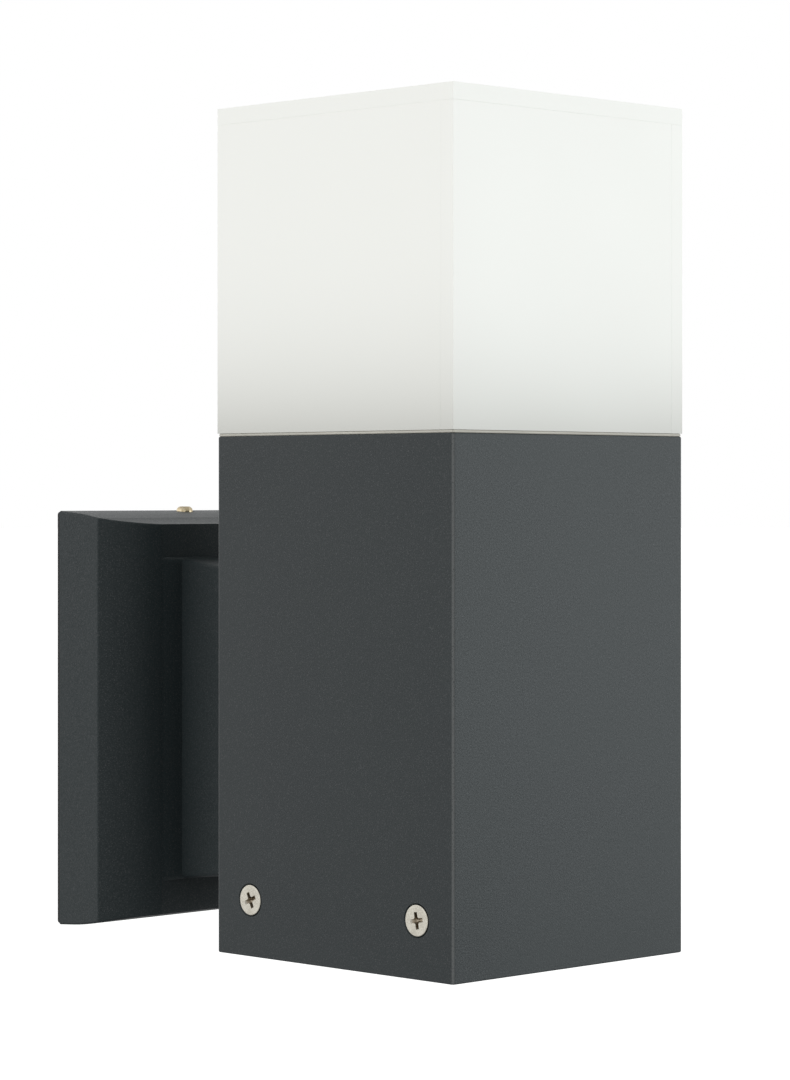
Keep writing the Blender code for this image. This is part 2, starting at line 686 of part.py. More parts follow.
def cavity_stations():
    """The box's hollow: its outer stations drawn in by the wall thickness."""
    hollow = [(-CUT_PAST, BOX_STATIONS[0][1] - BOX_WALL, BOX_STATIONS[0][2] - BOX_WALL)]
    for distance, half_width, half_height in BOX_STATIONS[1:]:
        hollow.append((distance - BOX_WALL, half_width - BOX_WALL, half_height - BOX_WALL))
    return hollow


def add_casting_pads(casting):
    """Cast pads for the terminal block and the earth screw, and the two bosses in the arm's end."""
    half_x, _, half_z = (side / 2 for side in TERMINAL_BLOCK_SIZE)
    face = TERMINAL_BLOCK_Y - TERMINAL_BLOCK_SIZE[1] / 2 - GAP
    pad = box_mesh(
        (TERMINAL_X - half_x * 0.4, face - TERMINAL_PAD_DEPTH, -half_z * 0.4),
        (TERMINAL_X + half_x * 0.4, face, half_z * 0.4),
    )
    cut(casting, pad, operation="UNION")
    earth_pad = rod_mesh(EARTH_LUG_RADIUS, 0, 7 * MM)
    cut(casting, earth_pad, at(EARTH_X, EARTH_PAD_FACE_Y, EARTH_Z, "-Y"), "UNION")
    boss_root = WALL_TO_BODY - GAP - ARM_END_WALL / 2
    for height in (-ARM_SCREW_Z, ARM_SCREW_Z):
        boss = rod_mesh(ARM_BOSS_RADIUS, 0, ARM_BOSS_LENGTH)
        cut(casting, boss, at(0, -boss_root, height, "+Y"), "UNION")


def drill_casting(casting):
    drilled = ARM_END_WALL + ARM_BOSS_LENGTH + CUT_PAST
    for height in (-ARM_SCREW_Z, ARM_SCREW_Z):
        hole = rod_mesh(ARM_SCREW_RADIUS + CLEARANCE, -CUT_PAST, drilled)
        cut(casting, hole, at(0, -WALL_TO_BODY, height, "+Y"))
    lead_way = rod_mesh(GROMMET_FLANGE_RADIUS + 1 * MM, -CUT_PAST, ARM_END_WALL + CUT_PAST)
    cut(casting, lead_way, at(0, -WALL_TO_BODY, 0, "+Y"))
    seat = rod_mesh(LOCK_SCREW_SEAT_RADIUS, 0, 3 * MM)
    through = rod_mesh(LOCK_SCREW_RADIUS + CLEARANCE, -4 * MM, CUT_PAST, 16)
    for height, facing in ((LOCK_SCREW_TOP_SEAT, "+Z"), (LOCK_SCREW_BOTTOM_SEAT, "-Z")):
        cut(casting, seat, at(0, LOCK_SCREW_Y, height, facing))
        cut(casting, through, at(0, LOCK_SCREW_Y, height, facing))
    terminal_face = TERMINAL_BLOCK_Y - TERMINAL_BLOCK_SIZE[1] / 2 - GAP
    tapped = rod_mesh(TERMINAL_SCREW_RADIUS + CLEARANCE, -4 * MM, CUT_PAST, 16)
    cut(casting, tapped, at(TERMINAL_X, terminal_face, TERMINAL_PITCH / 2, "+Y"))
    earth_hole = rod_mesh(M4_RADIUS + CLEARANCE, -5 * MM, CUT_PAST)
    cut(casting, earth_hole, at(EARTH_X, EARTH_PAD_FACE_Y, EARTH_Z, "+Y"))


def wall_gasket(look):
    _, half_width, half_height = BOX_STATIONS[0]
    loops = []
    for inset in (GASKET_INSET, GASKET_INSET + GASKET_WIDTH):
        ends = (0, GASKET_THICKNESS) if inset == GASKET_INSET else (GASKET_THICKNESS, 0)
        for distance in ends:
            loops.append(wall_rectangle(distance, half_width - inset, half_height - inset))
    finish_object("wall_gasket", closed_band_mesh(loops), look)


def wall_strap(look):
    """A steel strip against the wall, with folded tabs that the locking screws go into."""
    inner = STRAP_HALF_HEIGHT - STRAP_SHEET
    outline = (
        (0, -STRAP_HALF_HEIGHT),
        (0, STRAP_HALF_HEIGHT),
        (-STRAP_TAB, STRAP_HALF_HEIGHT),
        (-STRAP_TAB, inner),
        (-STRAP_SHEET, inner),
        (-STRAP_SHEET, -inner),
        (-STRAP_TAB, -inner),
        (-STRAP_TAB, -STRAP_HALF_HEIGHT),
    )
    mesh = extruded_mesh(outline, -STRAP_HALF_WIDTH, STRAP_HALF_WIDTH, "X")
    strap = finish_object("wall_strap", mesh, look)
    for height in (-SLOT_Z, SLOT_Z):
        cut(strap, slot_mesh(), at(0, 0, height))
    tapped = rod_mesh(LOCK_SCREW_RADIUS + CLEARANCE, -STRAP_SHEET - CUT_PAST, CUT_PAST, 16)
    for height, facing in ((STRAP_HALF_HEIGHT, "+Z"), (-STRAP_HALF_HEIGHT, "-Z")):
        cut(strap, tapped, at(0, LOCK_SCREW_Y, height, facing))


def slot_mesh():
    """A slot with round ends, lying across the strap, cut from front to back."""
    straight = SLOT_HALF_LENGTH - SLOT_HALF_WIDTH
    steps = 6
    outline = []
    for side in (1, -1):
        for step in range(steps + 1):
            turn = -math.pi / 2 + math.pi * step / steps
            x = side * (straight + SLOT_HALF_WIDTH * math.cos(turn))
            outline.append((x, side * SLOT_HALF_WIDTH * math.sin(turn)))
    return extruded_mesh(outline, -STRAP_SHEET - CUT_PAST, CUT_PAST, "Y")


def lock_screws(look):
    for name, height, facing in (
        ("lock_screw_top", LOCK_SCREW_TOP_SEAT + GAP, "+Z"),
        ("lock_screw_bottom", LOCK_SCREW_BOTTOM_SEAT - GAP, "-Z"),
    ):
        place = at(0, LOCK_SCREW_Y, height, facing, math.radians(20))
        pan_screw(
            name, place, look, LOCK_SCREW_RADIUS, LOCK_SCREW_HEAD_RADIUS, LOCK_SCREW_HEAD_HEIGHT, LOCK_SCREW_LENGTH
        )


def arm_screws(screw_look):
    """Screws and washers inside the body that pull it against the arm."""
    inner_face = -WALL_TO_BODY - BODY_WALL
    for name, height in (("lower", -ARM_SCREW_Z), ("upper", ARM_SCREW_Z)):
        washer = (
            (WASHER_RADIUS, 0),
            (WASHER_RADIUS, WASHER_THICKNESS),
            (ARM_SCREW_RADIUS + CLEARANCE, WASHER_THICKNESS),
            (ARM_SCREW_RADIUS + CLEARANCE, 0),
        )
        place = at(0, inner_face - GAP, height, "-Y")
        finish_object(f"arm_washer_{name}", turned_mesh(washer), screw_look, place)
        seat = at(0, inner_face - 2 * GAP - WASHER_THICKNESS, height, "-Y")
        head = 4.2 * MM
        pan_screw(f"arm_screw_{name}", seat, screw_look, ARM_SCREW_RADIUS, head, 3 * MM, ARM_SCREW_LENGTH)


def lead_grommet(look):
    """A rubber bush in the body's back wall, where the leads come through from the arm."""
    neck = GROMMET_HOLE_RADIUS - GAP
    outside = GAP
    inside = -BODY_WALL - GAP
    profile = (
        (GROMMET_BORE_RADIUS, outside + GROMMET_FLANGE),
        (GROMMET_FLANGE_RADIUS, outside + GROMMET_FLANGE),
        (GROMMET_FLANGE_RADIUS, outside),
        (neck, outside),
        (neck, inside),
        (GROMMET_FLANGE_RADIUS, inside),
        (GROMMET_FLANGE_RADIUS, inside - GROMMET_FLANGE),
        (GROMMET_BORE_RADIUS, inside - GROMMET_FLANGE),
    )
    finish_object("lead_grommet", turned_mesh(profile, 20), look, at(0, -WALL_TO_BODY, 0, "+Y"))


# Wiring


def terminal_heights():
    return {"live": TERMINAL_PITCH, "neutral": 0.0, "earth": -TERMINAL_PITCH}


def terminal_block(plastic, brass, screw_look):
    """A three-pole block on its pad, with a brass sleeve in each pole."""
    half = [side / 2 for side in TERMINAL_BLOCK_SIZE]
    centre = Vector((TERMINAL_X, TERMINAL_BLOCK_Y, 0))
    low = centre - Vector(half)
    high = centre + Vector(half)
    block = finish_object("terminal_block", box_mesh(low, high), plastic)
    bore = rod_mesh(TERMINAL_BORE_RADIUS, -half[0] - CUT_PAST, half[0] + CUT_PAST, 16)
    for pole, height in terminal_heights().items():
        cut(block, bore, at(TERMINAL_X, TERMINAL_BLOCK_Y, height, "+X"))
        sleeve = (
            (TERMINAL_BRASS_RADIUS, -half[0] + 1 * MM),
            (TERMINAL_BRASS_RADIUS, half[0] - 1 * MM),
            (TERMINAL_BRASS_BORE, half[0] - 1 * MM),
            (TERMINAL_BRASS_BORE, -half[0] + 1 * MM),
        )
        place = at(TERMINAL_X, TERMINAL_BLOCK_Y, height, "+X")
        finish_object(f"terminal_{pole}", turned_mesh(sleeve, 16), brass, place)
    fixing = rod_mesh(TERMINAL_SCREW_RADIUS + CLEARANCE, -TERMINAL_BLOCK_SIZE[1] - CUT_PAST, CUT_PAST, 16)
    face_y = TERMINAL_BLOCK_Y + half[1]
    cut(block, fixing, at(TERMINAL_X, face_y, TERMINAL_PITCH / 2, "+Y"))
    place = at(TERMINAL_X, face_y + GAP, TERMINAL_PITCH / 2, "+Y")
    pan_screw(
        "terminal_block_screw",
        place,
        screw_look,
        TERMINAL_SCREW_RADIUS,
        2.4 * MM,
        1.6 * MM,
        TERMINAL_BLOCK_SIZE[1] + 3 * MM,
        recess=False,
    )


def earth_point(lug_look, screw_look):
    """The ring lug and screw that bond the metal parts to earth."""
    lug = (
        (EARTH_LUG_RADIUS, 0),
        (EARTH_LUG_RADIUS, EARTH_LUG_THICKNESS),
        (M4_RADIUS + CLEARANCE, EARTH_LUG_THICKNESS),
        (M4_RADIUS + CLEARANCE, 0),
    )
    lug_y = EARTH_PAD_FACE_Y + GAP
    finish_object("earth_lug", turned_mesh(lug, 20), lug_look, at(EARTH_X, lug_y, EARTH_Z, "+Y"))
    seat = lug_y + EARTH_LUG_THICKNESS + GAP
    m4_screw("earth_screw", at(EARTH_X, seat, EARTH_Z, "+Y"), screw_look, 5 * MM)


def smooth_points(route):
    """Points a few diameters apart on a smooth curve through the route's own points."""
    route = [Vector(point) for point in route]
    ends = [2 * route[0] - route[1], *route, 2 * route[-1] - route[-2]]
    points = [route[0]]
    for before, start, stop, after in zip(ends, ends[1:], ends[2:], ends[3:]):
        steps = max(1, round((stop - start).length / LEAD_POINT_SPACING))
        for step in range(1, steps + 1):
            t = step / steps
            points.append(
                0.5
                * (
                    2 * start
                    + (stop - before) * t
                    + (2 * before - 5 * start + 4 * stop - after) * t**2
                    + (3 * start - before - 3 * stop + after) * t**3
                )
            )
    return points


def lead(name, route, look):
    """An insulated lead: a round tube along a smooth curve."""
    curve = bpy.data.curves.new(name, "CURVE")
    curve.dimensions = "3D"
    curve.bevel_depth = LEAD_RADIUS
    curve.bevel_resolution = 2
    curve.use_fill_caps = True
    points = smooth_points(route)
    spline = curve.splines.new("POLY")
    spline.points.add(len(points) - 1)
    for knot, point in zip(spline.points, points):
        knot.co = (*point, 1)
    curve.materials.append(look)
    made = bpy.data.objects.new(name, curve)
    bpy.context.scene.collection.objects.link(made)


def leads(live_look, neutral_look, earth_look):
    """Two leads run from the block through the arm to the lampholder, and the earth lead stays in the box."""
    block_side = TERMINAL_X - TERMINAL_BLOCK_SIZE[0] / 2 - GAP
    top = HOLDER_FLOOR - 2 * MM
    runs = (
        ("lead_live", terminal_heights()["live"], -1, live_look),
        ("lead_neutral", terminal_heights()["neutral"], 1, neutral_look),
    )
    for name, height, side, look in runs:
        apart = side * 1.9 * MM
        hole_x = side * LEAD_HOLE_X
        route = (
            (block_side, TERMINAL_BLOCK_Y, height),
            (12 * MM, -16 * MM, height * 0.9),
            (4 * MM + apart, -26 * MM, height * 0.5),
            (apart, -44 * MM, 0),
            (apart, -62 * MM, 0),
            (apart, -WALL_TO_BODY, 0),
            (apart, -88 * MM, 0),
            (apart * 1.4, -104 * MM, 4 * MM),
            (hole_x * 0.9, -121 * MM, 14 * MM),
            (hole_x, BODY_Y, 30 * MM),
            (hole_x, BODY_Y, BRIDGE_TOP),
            (hole_x, BODY_Y, top),
        )
        lead(name, route, look)
    earth_route = (
        (block_side, TERMINAL_BLOCK_Y, terminal_heights()["earth"]),
        (10 * MM, -16 * MM, -13 * MM),
        (-2 * MM, -20 * MM, -22 * MM),
        (-14 * MM, -20 * MM, -29 * MM),
        (EARTH_X + EARTH_LUG_RADIUS + LEAD_RADIUS + GAP, EARTH_PAD_FACE_Y + LEAD_RADIUS, EARTH_Z),
    )
    lead("lead_earth", earth_route, earth_look)


def main():
    clear_scene()
    powder = material("anthracite_powder_coat", (0.055, 0.062, 0.065), 0.55, 0.2)
    cast_powder = material("anthracite_cast_coat", (0.05, 0.055, 0.058), 0.6, 0.2)
    opal = material("opal_acrylic", (0.85, 0.85, 0.83), 0.35)
    zinc = material("zinc_plated_steel", (0.62, 0.6, 0.55), 0.35, 1.0)
    nickel = material("nickel_plated_screws", (0.7, 0.67, 0.6), 0.3, 1.0)
    yellow_zinc = material("yellow_zinc_screws", (0.6, 0.5, 0.28), 0.35, 1.0)
    frame_white = material("white_frame", (0.75, 0.75, 0.72), 0.5)
    silicone = material("cream_silicone", (0.72, 0.69, 0.6), 0.6)
    rubber = material("black_rubber", (0.02, 0.02, 0.02), 0.8)
    holder_plastic = material("white_thermoplastic", (0.8, 0.79, 0.74), 0.45)
    brass = material("brass", (0.75, 0.6, 0.3), 0.3, 1.0)
    insulation = material("black_insulation", (0.03, 0.03, 0.03), 0.4)
    board = material("white_circuit_board", (0.8, 0.8, 0.78), 0.5)
    diffuser = material("lamp_diffuser", (0.88, 0.87, 0.84), 0.4)
    brown = material("brown_lead", (0.2, 0.09, 0.04), 0.5)
    blue = material("blue_lead", (0.05, 0.15, 0.45), 0.5)
    green = material("green_yellow_lead", (0.35, 0.45, 0.06), 0.5)

    shade_joint = joint_empty("shade_lift_axis", (0, BODY_Y, BODY_TOP))
    lamp_joint = joint_empty("lamp_turn_axis", (0, BODY_Y, LAMP_BOTTOM))

    body_tube(powder)
    bottom_tray(zinc)
    side_screws(nickel)
    lamp_bridge(zinc, zinc)
    lampholder(holder_plastic, brass, zinc)
    lamp(lamp_joint, nickel, insulation, holder_plastic, board, diffuser)
    shade(shade_joint, opal, frame_white, silicone)
    wall_casting(cast_powder)
    wall_gasket(rubber)
    wall_strap(zinc)
    lock_screws(yellow_zinc)
    arm_screws(zinc)
    lead_grommet(rubber)
    terminal_block(holder_plastic, brass, zinc)
    earth_point(brass, zinc)
    leads(brown, blue, green)


main()
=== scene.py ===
"""Looks of the outdoor wall lantern: finer pieces and procedural materials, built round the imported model.

Lengths are in metres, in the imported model's frame: +Z is up, the wall is the plane Y = 0, and the lantern
stands out from it towards -Y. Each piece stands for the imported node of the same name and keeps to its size.
"""

import math

import bmesh
import bpy
from mathutils import Matrix, Vector


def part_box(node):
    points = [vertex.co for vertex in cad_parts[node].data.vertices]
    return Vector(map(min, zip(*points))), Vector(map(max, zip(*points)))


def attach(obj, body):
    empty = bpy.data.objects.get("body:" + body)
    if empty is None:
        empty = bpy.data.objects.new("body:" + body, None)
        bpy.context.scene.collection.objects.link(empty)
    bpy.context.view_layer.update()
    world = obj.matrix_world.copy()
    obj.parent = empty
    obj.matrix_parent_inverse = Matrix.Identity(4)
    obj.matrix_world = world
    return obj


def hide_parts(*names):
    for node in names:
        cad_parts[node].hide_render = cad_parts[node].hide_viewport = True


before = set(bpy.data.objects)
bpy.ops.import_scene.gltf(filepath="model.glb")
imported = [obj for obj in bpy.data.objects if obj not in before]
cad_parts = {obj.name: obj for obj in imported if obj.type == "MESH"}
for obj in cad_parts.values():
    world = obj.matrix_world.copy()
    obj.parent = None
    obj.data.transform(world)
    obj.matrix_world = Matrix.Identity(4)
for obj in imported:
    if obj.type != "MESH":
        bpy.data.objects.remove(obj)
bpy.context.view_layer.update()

MM = 0.001
GAP = 0.3 * MM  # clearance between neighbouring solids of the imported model
PAST = 1.0 * MM  # how far a cutter runs past the face it cuts
JOINT_LINE = 0.004 * MM  # left between pieces that are glued or pressed together
M3_HOLE = 1.8 * MM  # radii of clearance holes
M4_HOLE = 2.3 * MM
M5_HOLE = 2.8 * MM

HERE = Matrix.Identity(4)
CUT = "DIFFERENCE"
JOIN = "UNION"

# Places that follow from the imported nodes
BODY_LOW, BODY_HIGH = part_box("body_tube")
HALF_BODY = (BODY_HIGH.x - BODY_LOW.x) / 2
BODY_WALL = 2 * MM
BODY_Y = (BODY_LOW.y + BODY_HIGH.y) / 2
BODY_BACK = BODY_HIGH.y
ARM_SCREW_HEIGHTS = (-30 * MM, 30 * MM)

FACE_OUT = {
    "+X": Matrix.Rotation(math.pi / 2, 4, "Y"),
    "-X": Matrix.Rotation(-math.pi / 2, 4, "Y"),
    "+Y": Matrix.Rotation(-math.pi / 2, 4, "X"),
    "-Y": Matrix.Rotation(math.pi / 2, 4, "X"),
    "+Z": Matrix.Identity(4),
    "-Z": Matrix.Rotation(math.pi, 4, "X"),
}


def at(x, y, z, facing="+Z", turn=0.0):
    """A place whose own +Z points the way named, turned about that direction by degrees."""
    turned = Matrix.Rotation(math.radians(turn), 4, "Z")
    return Matrix.Translation((x, y, z)) @ FACE_OUT[facing] @ turned


def in_mm(*points):
    """Points given in millimetres, as metres."""
    return [tuple(part * MM for part in point) for point in points]


def middle(node):
    low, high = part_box(node)
    return (low + high) / 2


# Meshes


def mesh_from(build):
    """Makes a mesh from a bmesh that a function fills, with every face turned outwards."""
    shape = bmesh.new()
    build(shape)
    bmesh.ops.recalc_face_normals(shape, faces=shape.faces)
    mesh = bpy.data.meshes.new("shape")
    shape.to_mesh(mesh)
    shape.free()
    return mesh


def linked(name, data):
    """A new object in the scene."""
    made = bpy.data.objects.new(name, data)
    bpy.context.scene.collection.objects.link(made)
    return made


def add_rings(shape, loops, closed=False):
    """Rings of vertices in a bmesh, each joined to the next, and the last to the first if closed."""
    rings = [[shape.verts.new(point) for point in loop] for loop in loops]
    for low, high in zip(rings, rings[1:] + rings[:1] if closed else rings[1:]):
        for here in range(len(low)):
            after = (here + 1) % len(low)
            shape.faces.new((low[here], low[after], high[after], high[here]))
    return rings


def loft(loops):
    """A solid through loops of equally many points, capped at both ends."""

    def build(shape):
        rings = add_rings(shape, loops)
        shape.faces.new(rings[0])
        shape.faces.new(rings[-1])

    return mesh_from(build)


def band(loops):
    """A ring-shaped solid: loops of equally many points, the last joined back to the first."""
    return mesh_from(lambda shape: add_rings(shape, loops, closed=True))


def circle(radius, z, sides, offset=0.5):
    turns = [2 * math.pi * (side + offset) / sides for side in range(sides)]
    return [(radius * math.cos(turn), radius * math.sin(turn), z) for turn in turns]


def rod(radius, low, high, sides=32):
    return loft([circle(radius, z, sides) for z in (low, high)])


def eased(points, radius, closed=False, steps=3):
    """An outline with each corner rounded by a short curve that starts this far from the corner."""
    points = [Vector(point) for point in points]
    count = len(points)
    result = []
    for here, corner in enumerate(points):
        if not closed and here in (0, count - 1):
            result.append(tuple(corner))
            continue
        before = points[here - 1]
        after = points[(here + 1) % count]
        start = corner + (before - corner).normalized() * min(radius, (before - corner).length * 0.45)
        end = corner + (after - corner).normalized() * min(radius, (after - corner).length * 0.45)
        for step in range(steps + 1):
            t = step / steps
            result.append(tuple((1 - t) ** 2 * start + 2 * t * (1 - t) * corner + t**2 * end))
    return result


def turned(profile, sides=48, ease=0.2 * MM):
    """Turns a profile of (radius, height) about Z. It starts and ends on the axis, or it is a closed ring."""
    if profile[0][0] > 0:
        return band([circle(radius, z, sides) for radius, z in eased(profile, ease, closed=True)])
    profile = eased(profile, ease)

    def build(shape):
        rings = add_rings(shape, [circle(radius, z, sides) for radius, z in profile[1:-1]])
        for ring, (_, z) in ((rings[0], profile[0]), (rings[-1], profile[-1])):
            pole = shape.verts.new((0, 0, z))
            for here in range(sides):
                shape.faces.new((ring[here], ring[(here + 1) % sides], pole))

    return mesh_from(build)


def helix_points(radius, depth, pitch, z, sides):
    """A ring of points on a rolled thread: its radius rises and falls once a turn and once a pitch."""
    points = []
    for side in range(sides):
        turn = 2 * math.pi * side / sides
        wave = math.cos(2 * math.pi * z / pitch - turn)
        reach = radius - depth / 2 + depth / 2 * wave
        points.append((reach * math.cos(turn), reach * math.sin(turn), z))
    return points


def screw_mesh(head, radius, length, pitch, recess, sides=32):
    """A screw with a real thread. The head is a profile down from its top, and +Z points out of it."""
    depth = pitch * 0.5
    rows_a_turn = 8
    levels = [-pitch * row / rows_a_turn for row in range(1, int(length / pitch * rows_a_turn))]
    under_head = head[-1][1]
    loops = [circle(r, z, sides, 0) for r, z in eased(head, 0.25 * MM)[1:]]
    loops.append(circle(radius - depth / 2, under_head, sides, 0))
    loops += [helix_points(radius, depth, pitch, under_head + z, sides) for z in levels]
    loops.append(circle(radius - depth, under_head - length + pitch * 0.4, sides, 0))
    loops.append(circle(radius * 0.5, under_head - length, sides, 0))
    top = Matrix.Translation((0, 0, head[0][1]))
    return carve(loft(loops), [(cross_cutter(*recess), top, CUT)])


def cross_cutter(reach, width, deep):
    """A tapered cross with small corner flutes, pointing down from Z = 0."""
    corners = []
    flute = width * 1.6
    for quarter in range(4):
        turn = Matrix.Rotation(math.pi / 2 * quarter, 2)
        for point in ((flute, -width), (reach, -width), (reach, width), (flute, width)):
            corners.append(turn @ Vector(point))
    levels = ((PAST, 1.0), (0.0, 1.0), (-deep * 0.8, 0.62), (-deep, 0.3))
    return loft([[(p.x * scale, p.y * scale, z) for p in corners] for z, scale in levels])


def rounded_square(half, radius, z, steps=6):
    """A square with round corners, level at a height."""
    return [(x, y, z) for x, y in rounded_rectangle(half, half, radius, steps)]


def rounded_rectangle(half_x, half_y, radius, steps=6):
    """Points in order round a rectangle with round corners, centred on the origin."""
    points = []
    for corner, (side_x, side_y) in enumerate(((1, 1), (-1, 1), (-1, -1), (1, -1))):
        for step in range(steps + 1):
            turn = math.pi / 2 * (corner + step / steps)
            x = side_x * (half_x - radius) + radius * math.cos(turn)
            y = side_y * (half_y - radius) + radius * math.sin(turn)
            points.append((x, y))
    return points


def extruded(outline, low, high, axis):
    """Extrudes a flat outline along X or Y. The outline's points are (Y, Z) for X, and (X, Z) for Y."""
    if axis == "X":
        return loft([[(end, a, b) for a, b in outline] for end in (low, high)])
    return loft([[(a, end, b) for a, b in outline] for end in (low, high)])


def box(low, high, bevel=0.3 * MM, steps=2):
    """A box between two corners, with rounded edges."""

    def build(shape):
        bmesh.ops.create_cube(shape, size=1)
        size = Vector(high) - Vector(low)
        place = Matrix.Translation((Vector(high) + Vector(low)) / 2) @ Matrix.Diagonal((*size, 1))
        bmesh.ops.transform(shape, matrix=place, verts=shape.verts)
        if bevel:
            edges = list(shape.edges)
            bmesh.ops.bevel(shape, geom=edges, offset=bevel, segments=steps, profile=0.5, affect="EDGES")

    return mesh_from(build)


def softened(mesh, width, angle=40, steps=2):
    """The same mesh with its hard edges rounded."""
    shape = bmesh.new()
    shape.from_mesh(mesh)
    limit = math.radians(angle)
    hard = [edge for edge in shape.edges if len(edge.link_faces) == 2 and edge.calc_face_angle() > limit]
    bmesh.ops.bevel(
        shape, geom=hard, offset=width, segments=steps, profile=0.5, affect="EDGES", clamp_overlap=True
    )
    shape.to_mesh(mesh)
    shape.free()
    return mesh


def carve(mesh, cuts):
    """Cuts other meshes out of a mesh, or joins them to it. Each cut is (mesh, place, operation)."""
    target = linked("carved", mesh)
    tools = []
    for tool_mesh, place, operation in cuts:
        tool = linked("tool", tool_mesh)
        tool.matrix_world = place
        boolean = target.modifiers.new("cut", "BOOLEAN")
        boolean.operation = operation
        boolean.object = tool
        tools.append(tool)
    graph = bpy.context.evaluated_depsgraph_get()
    result = bpy.data.meshes.new_from_object(target.evaluated_get(graph))
    for used in (target, *tools):
        bpy.data.objects.remove(used, do_unlink=True)
    return result


def moved(mesh, place):
    mesh.transform(place)
    return mesh


def joined(meshes):
    """Several meshes as one."""
    shape = bmesh.new()
    for mesh in meshes:
        shape.from_mesh(mesh)
    result = bpy.data.meshes.new("joined")
    shape.to_mesh(result)
    shape.free()
    return result


def smooth_curve(points, steps=4, spacing=None):
    """Points on a smooth curve through these: so many to each span, or about a spacing apart."""
    points = [Vector(point) for point in points]
    ends = [2 * points[0] - points[1], *points, 2 * points[-1] - points[-2]]
    curve = [points[0]]
    for before, start, stop, after in zip(ends, ends[1:], ends[2:], ends[3:]):
        if spacing:
            steps = max(1, round((stop - start).length / spacing))
        for step in range(1, steps + 1):
            t = step / steps
            bend = (2 * before - 5 * start + 4 * stop - after) * t**2
            twist = (3 * start - before - 3 * stop + after) * t**3
            curve.append((2 * start + (stop - before) * t + bend + twist) / 2)
    return curve


def tube(points, radius, sides=14):
    """A round tube along points, carried without twist."""
    turns = [2 * math.pi * step / sides for step in range(sides)]
    side = (points[1] - points[0]).orthogonal().normalized()
    loops = []
    for here, point in enumerate(points):
        ahead = (points[min(here + 1, len(points) - 1)] - points[max(here - 1, 0)]).normalized()
        side = (side - ahead * side.dot(ahead)).normalized()
        up = ahead.cross(side)
        loops.append([point + radius * (side * math.cos(turn) + up * math.sin(turn)) for turn in turns])
    return loft(loops)


def add_piece(name, mesh, look, nodes=(), body="lantern", place=HERE, sharp=32):
    """Puts a mesh in the scene, riding on a body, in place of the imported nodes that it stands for."""
    mesh.shade_smooth()
    mesh.set_sharp_from_angle(angle=math.radians(sharp))
    mesh.materials.clear()
    mesh.materials.append(look)
    piece = linked(name, mesh)
    piece.matrix_world = place
    weighted = piece.modifiers.new("even_shading", "WEIGHTED_NORMAL")
    weighted.keep_sharp = True
    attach(piece, body)
    if nodes:
        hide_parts(*nodes)
    return piece


# Materials


class Nodes:
    """Short ways to add procedural nodes to the tree of a material or a world."""

    def __init__(self, tree):
        self.tree = tree

    def node(self, kind, inputs=(), **settings):
        """A node whose inputs are set to values, or linked to the outputs of other nodes."""
        made = self.tree.nodes.new(kind)
        for key, value in settings.items():
            setattr(made, key, value)
        for socket, value in dict(inputs).items():
            if isinstance(value, bpy.types.NodeSocket):
                self.tree.links.new(value, made.inputs[socket])
            else:
                made.inputs[socket].default_value = value
        return made

    def spread(self, value, low, high, to_low=0.0, to_high=1.0):
        """A value scaled from one range to another, and kept in it."""
        inputs = {"Value": value, 1: low, 2: high, 3: to_low, 4: to_high}
        return self.node("ShaderNodeMapRange", inputs).outputs["Result"]

    def combined(self, operation, first, second=0.0):
        return self.node("ShaderNodeMath", {0: first, 1: second}, operation=operation).outputs[0]

    def along(self, axis, vector):
        """One of a vector's parts: X, Y or Z."""
        return self.node("ShaderNodeSeparateXYZ", {"Vector": vector}).outputs[axis]


class Look(Nodes):
    """A Principled material, driven by procedural nodes in its piece's own space."""

    def __init__(self, name, colour, roughness, metallic=0.0, **settings):
        self.material = bpy.data.materials.new(name)
        self.material.use_nodes = True
        super().__init__(self.material.node_tree)
        self.shader = self.tree.nodes["Principled BSDF"]
        self.shader.inputs["Base Color"].default_value = (*colour, 1)
        self.shader.inputs["Roughness"].default_value = roughness
        self.shader.inputs["Metallic"].default_value = metallic
        for socket, value in settings.items():
            self.shader.inputs[socket.replace("_", " ")].default_value = value
        self.place = self.tree.nodes.new("ShaderNodeTexCoord").outputs["Object"]

    def stretched(self, scale):
        return self.node("ShaderNodeMapping", {"Vector": self.place, "Scale": scale}).outputs["Vector"]

    def noise(self, size, detail=2.0, stretch=None, roughness=0.5):
        """Noise whose grains are about this size, in metres."""
        vector = self.stretched(stretch) if stretch else self.place
        inputs = {"Vector": vector, "Scale": 1 / size, "Detail": detail, "Roughness": roughness}
        return self.node("ShaderNodeTexNoise", inputs).outputs["Fac"]

    def mixed(self, factor, first, second):
        mix = self.node("ShaderNodeMix", data_type="RGBA")
        for index, value in ((6, first), (7, second)):
            if isinstance(value, bpy.types.NodeSocket):
                self.tree.links.new(value, mix.inputs[index])
            else:
                mix.inputs[index].default_value = (*value, 1)
        self.tree.links.new(factor, mix.inputs[0])
        return mix.outputs[2]

    def drive(self, socket, value):
        self.tree.links.new(value, self.shader.inputs[socket])

    def bump(self, height, depth):
        inputs = {"Height": height, "Distance": depth}
        self.drive("Normal", self.node("ShaderNodeBump", inputs).outputs["Normal"])


